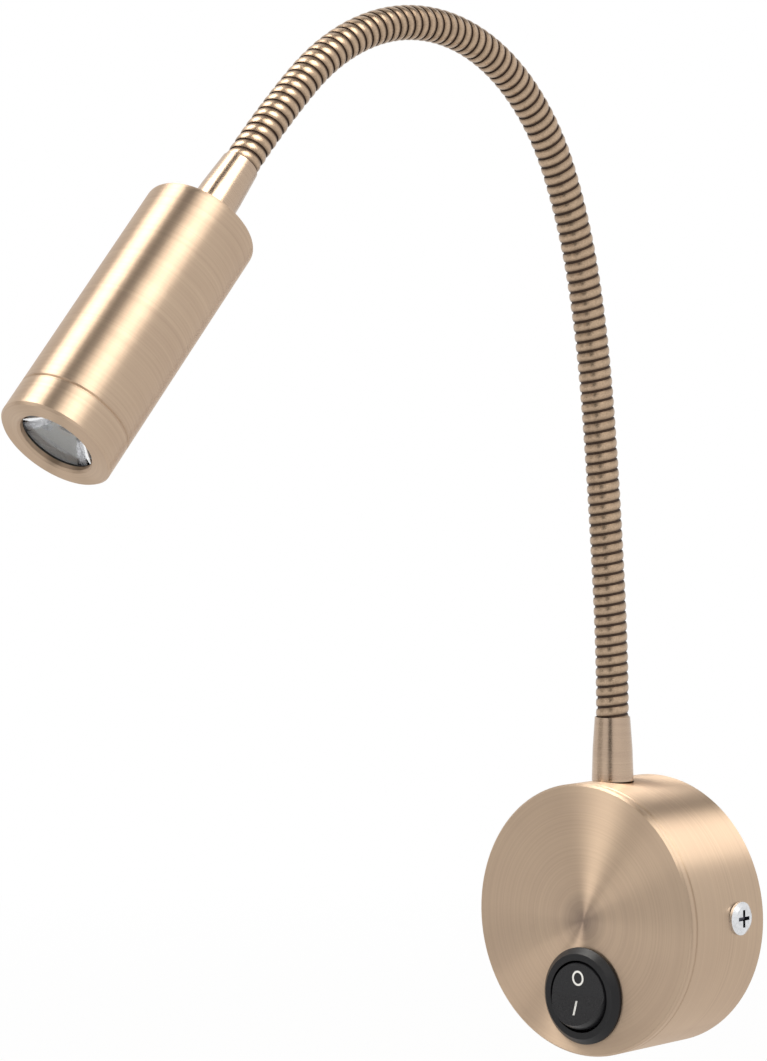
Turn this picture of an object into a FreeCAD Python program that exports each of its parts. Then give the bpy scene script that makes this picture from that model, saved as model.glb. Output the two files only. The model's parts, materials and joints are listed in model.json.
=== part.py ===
"""Bedside wall reading lamp: a round canopy with a rocker switch, a bendable hose and a spot head.

Frame: the wall is the plane Y = 0, the lamp stands out towards -Y, +Z is up, and the origin is
the centre of the canopy's back. Lengths are millimetres and angles are degrees.
"""
import FreeCAD, Part
import math
import os
import Sketcher

SIZES = {
    # canopy
    "canopy_diameter": 66.0,
    "canopy_depth": 28.0,
    "canopy_wall": 2.0,
    "front_rim": 2.2,
    "front_edge_chamfer": 0.5,
    "seam_chamfer": 0.35,
    "spigot_depth": 3.0,
    "spigot_wall": 1.5,
    "press_gap": 0.05,
    # wall plate and its screws
    "plate_thickness": 1.5,
    "plate_gap": 0.6,
    "tab_width": 12.0,
    "tab_reach": 14.0,
    "tab_thickness": 1.5,
    "wall_hole_diameter": 4.5,
    "wall_hole_spacing": 40.0,
    "side_screw_diameter": 4.0,
    "side_screw_head_diameter": 8.0,
    "side_screw_head_height": 1.4,
    "side_screw_top_diameter": 6.0,
    "side_screw_length": 7.0,
    "side_screw_from_wall": 9.4,
    "side_screw_rise": 1.5,
    "recess_width": 0.9,
    "recess_span": 4.2,
    "recess_depth": 0.9,
    "screw_clearance": 0.15,
    "thread_gap": 0.02,
    # cable entry
    "entry_right": 14.0,
    "entry_drop": 12.0,
    "grommet_bore": 6.5,
    "grommet_wall": 1.75,
    "grommet_lip": 1.5,
    "grommet_lip_thickness": 1.2,
    # switch
    "switch_from_rim": 14.7,
    "switch_bezel_diameter": 23.5,
    "switch_bezel_height": 2.0,
    "switch_bezel_slope": 1.4,
    "switch_bezel_edge": 0.65,
    "switch_body_diameter": 19.8,
    "switch_body_depth": 13.0,
    "switch_wall": 1.15,
    "switch_floor": 1.2,
    "switch_hole_gap": 0.2,
    "rocker_throw": 20.0,
    "rocker_depth": 0.5,
    "rocker_crown": 2.7,
    "rocker_gap": 0.25,
    "rocker_skirt": 3.0,
    "rocker_hollow": 11.0,
    "rocker_roof": 2.0,
    "rocker_pin_diameter": 2.0,
    "rocker_pin_gap": 0.05,
    "stem_diameter": 4.4,
    "stem_reach": 5.5,
    "plunger_diameter": 2.2,
    "plunger_reach": 8.2,
    "plunger_length": 4.2,
    "plunger_gap": 0.1,
    "spring_wire": 0.3,
    "spring_turns": 4.0,
    "lever_gap": 0.4,
    "lever_length": 11.0,
    "lever_width": 4.0,
    "lever_thickness": 0.5,
    "lever_tilt": 6.0,
    "lever_bead_diameter": 0.8,
    "contact_diameter": 2.0,
    "contact_height": 0.5,
    "blade_width": 4.8,
    "blade_thickness": 0.8,
    "blade_reach": 6.5,
    "blade_offset": 5.0,
    # driver
    "driver_width": 38.0,
    "driver_height": 20.0,
    "driver_depth": 16.0,
    "driver_switch_gap": 2.6,
    "driver_gap": 1.8,
    "driver_wall": 1.2,
    "driver_board_thickness": 1.6,
    "driver_board_gap": 0.5,
    "driver_board_stand": 2.5,
    "transformer_size": 10.0,
    "transformer_height": 8.0,
    "capacitor_diameter": 6.3,
    "capacitor_length": 8.5,
    "capacitor_edge": 1.15,
    "component_offset": 8.0,
    # terminal block
    "terminal_from_rim": 10.0,
    "terminal_width": 12.0,
    "terminal_low": 18.0,
    "terminal_height": 10.0,
    "terminal_depth": 8.0,
    "terminal_pitch": 5.0,
    "terminal_screw_diameter": 2.6,
    "terminal_hole_depth": 5.0,
    "terminal_screw_sink": 0.3,
    "terminal_screw_gap": 0.2,
    "terminal_entry_height": 3.0,
    # leads
    "mains_lead_diameter": 1.8,
    "lamp_lead_diameter": 2.6,
    "lead_hole_gap": 0.3,
    "lead_tail": 4.0,
    "lead_entry": 3.0,
    "lead_start": 0.5,
    "blade_run": 1.0,
    "neutral_sweep": 3.0,
    "neutral_dip": 5.0,
    "neutral_bow": 7.0,
    "switched_dip": 3.5,
    "switched_bow": 4.0,
    # hose root
    "hose_from_front": 11.5,
    "base_ferrule_length": 15.5,
    "ferrule_foot_diameter": 10.2,
    "ferrule_belly_diameter": 9.7,
    "ferrule_top_diameter": 8.6,
    "ferrule_socket_depth": 10.0,
    "stub_diameter": 7.0,
    "stub_bore": 3.4,
    "base_stub_length": 8.0,
    "nut_across_flats": 11.0,
    "nut_thickness": 3.5,
    "washer_diameter": 11.0,
    "washer_thickness": 0.8,
    # hose
    "hose_diameter": 8.0,
    "hose_groove_depth": 0.25,
    "hose_bore": 4.2,
    "hose_length": 266.3,
    "hose_insert": 9.0,
    "turn_pitch": 2.48,
    "turn_land": 2.08,
    "hinge_offset": 1.9,
    "hinge_turn_gap": 1.5,
    "ball_gap": 0.3,
    "lead_overhang": 2.7,
    # bend of each stretch of the hose as it stands in the picture
    "bend_angle_01": 4.0,
    "bend_angle_02": 1.0,
    "bend_angle_03": 2.0,
    "bend_angle_04": 6.5,
    "bend_angle_05": 11.5,
    "bend_angle_06": 25.5,
    "bend_angle_07": 28.5,
    "bend_angle_08": 27.5,
    "bend_angle_09": 24.5,
    "bend_angle_10": 6.0,
    # head
    "head_ferrule_length": 17.0,
    "head_stub_length": 7.0,
    "head_diameter": 26.0,
    "head_length": 64.0,
    "head_wall": 1.6,
    "head_top_wall": 2.0,
    "head_top_fillet": 1.6,
    "bezel_length": 8.0,
    "bezel_spigot_length": 4.0,
    "bezel_spigot_wall": 0.75,
    "bezel_lip": 1.5,
    "bezel_chamfer": 0.5,
    "lens_opening": 17.0,
    "slug_length": 14.0,
    "slug_lead_offset": 7.0,
    "led_board_diameter": 20.0,
    "led_board_thickness": 1.6,
    "led_board_setback": 4.4,
    "board_screw_diameter": 2.5,
    "board_screw_head_diameter": 4.4,
    "board_screw_head_height": 1.4,
    "board_screw_length": 6.0,
    "board_screw_circle": 14.0,
    "emitter_base": 3.4,
    "emitter_base_height": 0.6,
    "emitter_dome_diameter": 2.8,
    "lens_flange_diameter": 20.4,
    "lens_flange_thickness": 0.8,
    "lens_front_diameter": 18.0,
    "lens_rear_diameter": 8.0,
    "lens_rear_gap": 0.3,
    "lens_well_diameter": 5.0,
    "lens_well_gap": 0.8,
    "lens_seal_thickness": 0.5,
    "lens_seal_diameter": 20.6,
    "holder_wall": 0.8,
    "holder_gap": 0.15,
    "holder_end_gap": 0.05,
}

STRETCHES = 10
SAME_PLACE = 1e-6
SWITCH_DROP = "(canopy_diameter / 2 - switch_from_rim)"
HOSE_OUT = "(canopy_depth - hose_from_front)"
TOWARDS_ROOM = FreeCAD.Rotation(FreeCAD.Vector(1, 0, 0), 90)
ALONG_X = FreeCAD.Rotation(FreeCAD.Vector(0, 1, 0), 90)
UPRIGHT = FreeCAD.Rotation()

doc = FreeCAD.newDocument("reading_lamp")
pieces = []


# ---------------------------------------------------------------- sheet and small helpers

def make_sheet():
    """Write every driving dimension into the sheet, one row each."""
    sheet = doc.addObject("Spreadsheet::Sheet", "Sizes")
    for row, (alias, value) in enumerate(SIZES.items(), start=1):
        sheet.set(f"A{row}", alias)
        sheet.set(f"B{row}", str(value))
        sheet.setAlias(f"B{row}", alias)
    doc.recompute()
    return sheet


sheet = make_sheet()


def size(alias):
    """The present value of a cell."""
    return float(getattr(sheet, alias))


def bound(text):
    """A sum written with bare cell names, as an expression on the sheet."""
    words = []
    word = ""
    for letter in str(text) + " ":
        if letter.isalnum() or letter == "_":
            word += letter
            continue
        words.append("Sizes." + word if word in SIZES else word)
        words.append(letter)
        word = ""
    return "".join(words).strip()


def number(text):
    """The value of such a sum."""
    return float(sheet.evalExpression(bound(text)))


def bind(thing, **sums):
    """Bind properties of one object to the sheet."""
    for name, text in sums.items():
        thing.setExpression(name, bound(text))


def place(thing, x="0", y="0", z="0", turn=UPRIGHT):
    """Put an object at a place worked out from the sheet, turned by a fixed rotation."""
    thing.Placement = FreeCAD.Placement(FreeCAD.Vector(), turn)
    bind(thing, **{".Placement.Base.x": x, ".Placement.Base.y": y, ".Placement.Base.z": z})


def piece(thing, label):
    """Name a finished sub-part and keep it for export."""
    thing.Label = label
    pieces.append(thing)
    return thing


def block(name, left, right, low, high, near, far):
    """A box between two heights, two sides and two distances from the wall."""
    box = doc.addObject("Part::Box", name)
    bind(box, Length=f"({right}) - ({left})", Width=f"({far}) - ({near})", Height=f"({high}) - ({low})")
    place(box, left, f"-({far})", low)
    return box


def rod(name, radius, length, x="0", y="0", z="0", turn=UPRIGHT):
    """A plain cylinder."""
    cylinder = doc.addObject("Part::Cylinder", name)
    bind(cylinder, Radius=radius, Height=length)
    place(cylinder, x, y, z, turn)
    return cylinder


def cut(name, base, tools):
    """The base with the tools taken away."""
    result = doc.addObject("Part::Cut", name)
    result.Base = base
    result.Tool = tools[0] if len(tools) == 1 else join(name + "_tools", tools)
    return result


def join(name, shapes):
    """Several shapes as one."""
    result = doc.addObject("Part::MultiFuse", name)
    result.Shapes = shapes
    return result


def group(name, links):
    """Several separate solids in one sub-part."""
    result = doc.addObject("Part::Compound", name)
    result.Links = links
    return result


def outline(body, name, role, corners):
    """A closed sketch through corners given as pairs of sums, each bound to the sheet."""
    sketch = body.newObject("Sketcher::SketchObject", name)
    plane = next(item for item in body.Origin.OriginFeatures if item.Role == role)
    sketch.AttachmentSupport = (plane, [""])
    sketch.MapMode = "FlatFace"
    points = [FreeCAD.Vector(number(across), number(up), 0) for across, up in corners]
    for index, point in enumerate(points):
        sketch.addGeometry(Part.LineSegment(point, points[(index + 1) % len(points)]), False)
    for index in range(len(points)):
        following = (index + 1) % len(points)
        sketch.addConstraint(Sketcher.Constraint("Coincident", index, 2, following, 1))
    for index, (across, up) in enumerate(corners):
        for kind, text, value in (("DistanceX", across, points[index].x),
                                  ("DistanceY", up, points[index].y)):
            row = sketch.addConstraint(Sketcher.Constraint(kind, -1, 1, index, 1, value))
            sketch.setExpression(f"Constraints[{row}]", bound(text))
    return sketch


def turned(name, corners):
    """A lathe-turned body: corners are radius and height along the body's own Z axis."""
    body = doc.addObject("PartDesign::Body", name)
    sketch = outline(body, name + "_profile", "XZ_Plane", corners)
    revolution = body.newObject("PartDesign::Revolution", name + "_turn")
    revolution.Profile = sketch
    revolution.ReferenceAxis = (sketch, ["V_Axis"])
    revolution.Angle = 360
    sketch.Visibility = False
    doc.recompute()
    return body


def padded(name, role, corners, length, middle=False):
    """A body padded from a flat outline."""
    body = doc.addObject("PartDesign::Body", name)
    sketch = outline(body, name + "_profile", role, corners)
    pad = body.newObject("PartDesign::Pad", name + "_pad")
    pad.Profile = sketch
    pad.Midplane = middle
    bind(pad, Length=length)
    doc.recompute()
    return body


def hexagon_nut(name, bore, thickness):
    """A hexagon nut round the body's Z axis, as a prism with a plain bore."""
    prism = doc.addObject("Part::Prism", name + "_prism")
    bind(prism, Circumradius="nut_across_flats / sqrt(3)", Height=thickness)
    return cut(name, prism, [rod(name + "_bore", bore, thickness)])


# ---------------------------------------------------------------- canopy and wall plate

def make_wall_plate():
    """Round steel plate with two bent tabs; the wall screws go through it first."""
    radius = "(canopy_diameter / 2 - canopy_wall - plate_gap)"
    disc = rod("plate_disc", radius, "plate_thickness", turn=TOWARDS_ROOM)
    tab_outer = f"sqrt({radius}^2 - (tab_width / 2)^2)"
    tabs = []
    for side, left, right in (("right", f"{tab_outer} - tab_thickness", tab_outer),
                              ("left", f"-{tab_outer}", f"-{tab_outer} + tab_thickness")):
        tabs.append(block(f"plate_tab_{side}", left, right, "-tab_width / 2", "tab_width / 2", "0",
                          "tab_reach"))
    blank = join("plate_blank", [disc] + tabs)
    holes = [rod("plate_entry", "grommet_bore / 2 + grommet_wall", "plate_thickness", "entry_right", "0",
                 "-entry_drop", TOWARDS_ROOM),
             rod("plate_side_holes", "side_screw_diameter / 2 + thread_gap", "canopy_diameter",
                 "-canopy_diameter / 2", "-side_screw_from_wall", "side_screw_rise", ALONG_X)]
    for side, sign in (("right", ""), ("left", "-")):
        holes.append(rod(f"plate_wall_hole_{side}", "wall_hole_diameter / 2", "plate_thickness",
                         f"{sign}wall_hole_spacing / 2", "0", "0", TOWARDS_ROOM))
    piece(cut("plate", blank, holes), "wall_plate")


def make_grommet():
    """Bush in the wall plate that the supply cable comes through; flush with the wall side."""
    bore = "grommet_bore / 2"
    barrel = "grommet_bore / 2 + grommet_wall"
    lip = barrel + " + grommet_lip"
    top = "plate_thickness + grommet_lip_thickness"
    body = turned("grommet", [(bore, "0"), (barrel, "0"), (barrel, "plate_thickness"),
                              (lip, "plate_thickness"), (lip, top), (bore, top)])
    place(body, "entry_right", "0", "-entry_drop", TOWARDS_ROOM)
    piece(body, "cable_grommet")


def make_canopy_ring():
    """Turned tube of the canopy, open at the wall, with the hose hole on top and a screw hole each side."""
    outer = "canopy_diameter / 2"
    inner = "canopy_diameter / 2 - canopy_wall"
    front = "canopy_depth - front_rim"
    body = turned("ring", [(inner, "0"), (outer, "0"), (outer, f"{front} - seam_chamfer"),
                           (f"{outer} - seam_chamfer", front), (inner, front)])
    place(body, turn=TOWARDS_ROOM)
    holes = [rod("ring_hose_hole", "stub_diameter / 2 + screw_clearance", "canopy_diameter / 2", "0",
                 f"-{HOSE_OUT}", "0"),
             rod("ring_side_holes", "side_screw_diameter / 2 + screw_clearance", "canopy_diameter",
                 "-canopy_diameter / 2", "-side_screw_from_wall", "side_screw_rise", ALONG_X)]
    piece(cut("canopy_ring", body, holes), "canopy_ring")


def make_front_plate():
    """Turned disc that closes the canopy; its spigot presses into the ring."""
    outer = "canopy_diameter / 2"
    spigot = "canopy_diameter / 2 - canopy_wall - press_gap"
    back = "canopy_depth - front_rim"
    body = turned("front", [("0", back), (f"{spigot} - spigot_wall", back),
                            (f"{spigot} - spigot_wall", f"{back} - spigot_depth"),
                            (spigot, f"{back} - spigot_depth"), (spigot, back),
                            (f"{outer} - seam_chamfer", back), (outer, f"{back} + seam_chamfer"),
                            (outer, "canopy_depth - front_edge_chamfer"),
                            (f"{outer} - front_edge_chamfer", "canopy_depth"), ("0", "canopy_depth")])
    place(body, turn=TOWARDS_ROOM)
    hole = rod("front_switch_hole", "switch_body_diameter / 2 + switch_hole_gap", "canopy_depth", "0", "0",
               f"-{SWITCH_DROP}", TOWARDS_ROOM)
    piece(cut("front_plate", body, [hole]), "front_plate")


def make_side_screws():
    """The two pan-head screws that hold the canopy to the wall plate's tabs."""
    screws = []
    for side, sign, turn in (("right", "", 90), ("left", "-", -90)):
        shank = "side_screw_diameter / 2"
        head = "side_screw_head_diameter / 2"
        body = turned(f"side_screw_{side}", [
            ("0", "-side_screw_length"), (shank, "-side_screw_length"), (shank, "0"), (head, "0"),
            (head, "side_screw_head_height / 2"), ("side_screw_top_diameter / 2", "side_screw_head_height"),
            ("0", "side_screw_head_height")])
        turn_out = FreeCAD.Rotation(FreeCAD.Vector(0, 1, 0), turn)
        seat = "canopy_diameter / 2"
        place(body, f"{sign}{seat}", "-side_screw_from_wall", "side_screw_rise", turn_out)
        floor = f"{seat} + side_screw_head_height - recess_depth"
        slots = []
        for name, wide, tall in (("flat", "recess_span", "recess_width"),
                                 ("tall", "recess_width", "recess_span")):
            near, far = f"side_screw_from_wall - {wide} / 2", f"side_screw_from_wall + {wide} / 2"
            low, high = f"side_screw_rise - {tall} / 2", f"side_screw_rise + {tall} / 2"
            left, right = (floor, f"{floor} + side_screw_head_height") if sign == "" else (
                f"-({floor}) - side_screw_head_height", f"-({floor})")
            slots.append(block(f"recess_{side}_{name}", left, right, low, high, near, far))
        screws.append(cut(f"side_screw_cut_{side}", body, slots))
    piece(group("side_screw_pair", screws), "side_screws")


# ---------------------------------------------------------------- switch

SWITCH = {"y": "-canopy_depth", "z": f"-{SWITCH_DROP}", "turn": TOWARDS_ROOM}
PIVOT = {"y": "-(canopy_depth - rocker_depth)", "z": f"-{SWITCH_DROP}"}


def tilt(thing, tip):
    """Turn an object that faces the room by a further angle about its own X axis."""
    bind(thing, **{".Placement.Rotation.Angle": f"90 + ({tip})"})


def make_switch_housing():
    """Round snap-in switch body with its bezel, the rocker's pivot holes and the blade slots."""
    opening = "switch_body_diameter / 2 - switch_wall"
    body_radius = "switch_body_diameter / 2"
    bezel = "switch_bezel_diameter / 2"
    body = turned("housing", [
        ("0", "-switch_body_depth"), (body_radius, "-switch_body_depth"), (body_radius, "0"), (bezel, "0"),
        (bezel, "switch_bezel_edge"), (f"{bezel} - switch_bezel_slope", "switch_bezel_height"),
        (opening, "switch_bezel_height"), (opening, "switch_floor - switch_body_depth"),
        ("0", "switch_floor - switch_body_depth")])
    place(body, "0", **SWITCH)
    tools = [rod("housing_pivot", "rocker_pin_diameter / 2 + rocker_pin_gap", "switch_body_diameter",
                 "-switch_body_diameter / 2", PIVOT["y"], PIVOT["z"], ALONG_X)]
    for name, offset in (("common", "0"), ("output", "blade_offset")):
        tools.append(block(f"housing_slot_{name}", "-blade_width / 2", "blade_width / 2",
                           f"{offset} - {SWITCH_DROP} - blade_thickness / 2",
                           f"{offset} - {SWITCH_DROP} + blade_thickness / 2",
                           "canopy_depth - switch_body_depth - switch_floor",
                           "canopy_depth - switch_body_depth + switch_floor"))
    piece(cut("switch_housing", body, tools), "switch_housing")


def make_rocker():
    """Rocker cap, round about its pivot so that it turns freely in the round opening."""
    radius = "(switch_body_diameter / 2 - switch_wall - rocker_gap)"
    slope = "tan(rocker_throw / 2)"
    cap = padded("rocker_cap", "YZ_Plane", [
        (f"-{radius}", "-rocker_skirt"), (radius, "-rocker_skirt"),
        (radius, f"rocker_crown + {radius} * {slope}"), ("0", "rocker_crown"),
        (f"-{radius}", f"rocker_crown + {radius} * {slope}")], "switch_body_diameter", middle=True)
    ball = doc.addObject("Part::Sphere", "rocker_ball")
    bind(ball, Radius=radius)
    shell = doc.addObject("Part::Common", "rocker_shell")
    shell.Base = cap
    shell.Tool = ball
    hollow = rod("rocker_hollow_tool", "rocker_hollow / 2",
                 "rocker_skirt + rocker_crown - rocker_roof", "0", "0", "-rocker_skirt")
    stem = rod("rocker_stem", "stem_diameter / 2", "stem_reach + rocker_crown - rocker_roof / 2", "0", "0",
               "-stem_reach")
    axle = rod("rocker_axle", "rocker_pin_diameter / 2", "switch_body_diameter - 2 * rocker_gap",
               "-(switch_body_diameter / 2 - rocker_gap)", "0", "0", ALONG_X)
    solid = join("rocker_solid", [cut("rocker_open", shell, [hollow]), stem, axle])
    well = rod("rocker_well", "plunger_diameter / 2 + plunger_gap",
               "stem_reach - rocker_pin_diameter / 2 - plunger_gap * 2", "0", "0", "-stem_reach")
    rocker = cut("rocker_piece", solid, [well])
    place(rocker, "0", PIVOT["y"], PIVOT["z"], TOWARDS_ROOM)
    tilt(rocker, "-rocker_throw / 2")
    piece(rocker, "rocker")


def make_plunger():
    """Plunger in the rocker's stem that slides over the contact lever."""
    radius = "plunger_diameter / 2"
    tip = "-plunger_reach"
    shank = rod("plunger_shank", radius, "plunger_length - plunger_diameter / 2", "0", "0",
                f"{tip} + plunger_diameter / 2")
    dome = doc.addObject("Part::Sphere", "plunger_dome")
    bind(dome, Radius=radius)
    place(dome, "0", "0", f"{tip} + plunger_diameter / 2")
    plunger = join("plunger", [shank, dome])
    place(plunger, "0", PIVOT["y"], PIVOT["z"], TOWARDS_ROOM)
    tilt(plunger, "-rocker_throw / 2")
    piece(plunger, "rocker_plunger")


def make_plunger_spring():
    """Coil spring between the rocker's stem and the plunger."""
    top = -(size("rocker_pin_diameter") / 2 + 2 * size("plunger_gap")) - size("spring_wire") / 2
    low = -(size("plunger_reach") - size("plunger_length")) + size("spring_wire") / 2
    coil_radius = size("plunger_diameter") / 2 - size("spring_wire") / 2
    height = top - low - size("plunger_gap")
    pitch = height / size("spring_turns")
    turns = []
    for turn in range(round(size("spring_turns"))):
        helix = Part.makeHelix(pitch, pitch, coil_radius)
        helix.translate(FreeCAD.Vector(0, 0, low + turn * pitch))
        turns += helix.Edges
    heading = FreeCAD.Vector(0, 2 * math.pi * coil_radius, pitch)
    foot = FreeCAD.Vector(coil_radius, 0, low)
    section = Part.Wire([Part.makeCircle(size("spring_wire") / 2, foot, heading)])
    sweep = Part.BRepOffsetAPI.MakePipeShell(Part.Wire(turns))
    sweep.setBiNormalMode(FreeCAD.Vector(0, 0, 1))
    sweep.add(section, False, False)
    sweep.build()
    sweep.makeSolid()
    spring = doc.addObject("Part::Feature", "plunger_spring")
    spring.Shape = sweep.shape()
    place(spring, "0", PIVOT["y"], PIVOT["z"], TOWARDS_ROOM)
    tilt(spring, "-rocker_throw / 2")
    piece(spring, "plunger_spring")


LEVER_PIVOT = "(canopy_depth - rocker_depth - plunger_reach - lever_gap - lever_thickness)"


def make_contact_lever():
    """See-saw contact under the plunger, rocking on a bead at its middle."""
    strip = doc.addObject("Part::Box", "lever_strip")
    bind(strip, Length="lever_width", Width="lever_length", Height="lever_thickness")
    place(strip, "-lever_width / 2", "-lever_length / 2", "0")
    bead = rod("lever_bead", "lever_bead_diameter / 2", "lever_width", "-lever_width / 2", "0", "0", ALONG_X)
    studs = []
    for side, sign in (("upper", ""), ("lower", "-")):
        studs.append(rod(f"lever_stud_{side}", "contact_diameter / 2",
                         "contact_height + lever_thickness / 2", "0",
                         f"{sign}(lever_length / 2 - contact_diameter / 2)", "-contact_height"))
    lever = join("lever", [strip, bead] + studs)
    place(lever, "0", f"-{LEVER_PIVOT}", f"-{SWITCH_DROP}", TOWARDS_ROOM)
    tilt(lever, "lever_tilt")
    piece(lever, "contact_lever")


def make_switch_terminals():
    """The common blade under the lever's bead and the output blade under its upper contact."""
    tail = "canopy_depth - switch_body_depth - blade_reach"
    blades = []
    for name, offset, top in (("common", "0", f"{LEVER_PIVOT} - lever_bead_diameter / 2 - thread_gap"),
                              ("output", "blade_offset", f"{LEVER_PIVOT} - lever_length / 2 * sin(lever_tilt)"
                               " - contact_height - contact_diameter * sin(lever_tilt)")):
        blades.append(block(f"blade_{name}", "-blade_width / 2", "blade_width / 2",
                            f"{offset} - {SWITCH_DROP} - blade_thickness / 2",
                            f"{offset} - {SWITCH_DROP} + blade_thickness / 2", tail, top))
    piece(group("blades", blades), "switch_terminals")


# ---------------------------------------------------------------- driver and terminal block

DRIVER_FAR = "(canopy_depth - front_rim - driver_gap)"
DRIVER_NEAR = "(canopy_depth - front_rim - driver_gap - driver_depth)"
DRIVER_LOW = f"(switch_body_diameter / 2 + driver_switch_gap - {SWITCH_DROP})"
DRIVER_HIGH = f"({DRIVER_LOW} + driver_height)"
LEAD_LEVEL = "(canopy_depth - front_rim - driver_gap - driver_depth / 2)"
MAINS_HOLE = "(mains_lead_diameter / 2 + lead_hole_gap)"
LAMP_HOLE = "(lamp_lead_diameter / 2 + lead_hole_gap)"


def make_driver_case():
    """Box of the lamp's power supply, open towards the wall, with one hole per lead."""
    shell = block("driver_shell", "-driver_width / 2", "driver_width / 2", DRIVER_LOW, DRIVER_HIGH,
                  f"{DRIVER_NEAR} + driver_wall", DRIVER_FAR)
    hollow = block("driver_hollow", "-driver_width / 2 + driver_wall", "driver_width / 2 - driver_wall",
                   f"{DRIVER_LOW} + driver_wall", f"{DRIVER_HIGH} - driver_wall", DRIVER_NEAR,
                   f"{DRIVER_FAR} - driver_wall")
    tools = [hollow]
    for name, sign in (("switched", ""), ("neutral", "-")):
        tools.append(rod(f"driver_hole_{name}", MAINS_HOLE, "driver_wall * 3", f"{sign}component_offset",
                         f"-{LEAD_LEVEL}", f"{DRIVER_LOW} - driver_wall"))
    tools.append(rod("driver_hole_lamp", LAMP_HOLE, "driver_wall * 3", "component_offset", f"-{LEAD_LEVEL}",
                     f"{DRIVER_HIGH} - driver_wall * 2"))
    piece(cut("driver_case", shell, tools), "driver_case")


def make_driver_inside():
    """The lid, the circuit board and the two large parts on it."""
    lid = block("driver_lid", "-driver_width / 2", "driver_width / 2", DRIVER_LOW, DRIVER_HIGH, DRIVER_NEAR,
                f"{DRIVER_NEAR} + driver_wall")
    piece(lid, "driver_lid")
    board_far = f"({DRIVER_FAR} - driver_wall - driver_board_stand + driver_board_thickness)"
    board_near = f"({DRIVER_FAR} - driver_wall - driver_board_stand)"
    board = block("driver_board", "-driver_width / 2 + driver_wall + driver_board_gap",
                  "driver_width / 2 - driver_wall - driver_board_gap",
                  f"{DRIVER_LOW} + driver_wall + driver_board_gap",
                  f"{DRIVER_HIGH} - driver_wall - driver_board_gap", board_near, board_far)
    piece(board, "driver_board")
    middle = f"({DRIVER_LOW} + driver_height / 2)"
    transformer = block("driver_transformer", "-transformer_size / 2", "transformer_size / 2",
                        f"{middle} - transformer_size / 2", f"{middle} + transformer_size / 2",
                        f"{board_near} - transformer_height", board_near)
    piece(transformer, "driver_transformer")
    capacitor = rod("driver_capacitor", "capacitor_diameter / 2", "capacitor_length",
                    "-(driver_width - capacitor_diameter) / 2 + driver_wall + driver_board_gap + capacitor_edge",
                    f"-({board_near} - capacitor_length)", middle,
                    TOWARDS_ROOM)
    piece(capacitor, "driver_capacitor")


TERMINAL_LEFT = "(canopy_diameter / 2 - terminal_from_rim)"
TERMINAL_MIDDLE = "(terminal_low - terminal_height / 2)"
TERMINAL_FAR = "(plate_thickness + terminal_depth)"


def terminal_heights():
    """Heights of the block's two poles."""
    poles = (("live", "+"), ("neutral", "-"))
    return [(name, f"-({TERMINAL_MIDDLE} {sign} terminal_pitch / 2)") for name, sign in poles]


def make_terminal_block():
    """Two-pole block on the wall plate where the supply cable ends."""
    body = block("terminal_body", f"-{TERMINAL_LEFT}", f"terminal_width - {TERMINAL_LEFT}", "-terminal_low",
                 "terminal_height - terminal_low", "plate_thickness", TERMINAL_FAR)
    tools = []
    screws = []
    for name, height in terminal_heights():
        middle = f"(terminal_width / 2 - {TERMINAL_LEFT})"
        tools.append(rod(f"terminal_hole_{name}", "terminal_screw_diameter / 2", "terminal_depth", middle,
                         f"-({TERMINAL_FAR} - terminal_hole_depth)", height, TOWARDS_ROOM))
        tools.append(rod(f"terminal_way_{name}", MAINS_HOLE, "terminal_width", f"-{TERMINAL_LEFT}",
                         "-(plate_thickness + terminal_entry_height)", height, ALONG_X))
        screws.append(rod(f"terminal_screw_{name}", "terminal_screw_diameter / 2",
                          "terminal_hole_depth - terminal_screw_sink - terminal_screw_gap",
                          middle, f"-({TERMINAL_FAR} - terminal_hole_depth + terminal_screw_gap)", height,
                          TOWARDS_ROOM))
    piece(cut("terminal", body, tools), "terminal_block")
    piece(group("terminal_screw_pair", screws), "terminal_screws")


# ---------------------------------------------------------------- leads

def make_lead(label, diameter, points):
    """A lead through points chosen by hand: straight at both ends, one smooth line between them."""
    first = Part.LineSegment(points[0], points[1])
    last = Part.LineSegment(points[-2], points[-1])
    line = Part.BSplineCurve()
    line.interpolate(Points=points[1:-1], InitialTangent=(points[1] - points[0]).normalize(),
                     FinalTangent=(points[-1] - points[-2]).normalize())
    way = Part.Wire([first.toShape(), line.toShape(), last.toShape()])
    section = Part.Wire([Part.makeCircle(size(diameter) / 2, points[0], points[1] - points[0])])
    lead = doc.addObject("Part::Feature", label + "_run")
    lead.Shape = way.makePipeShell([section], True, False)
    piece(lead, label)


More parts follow.
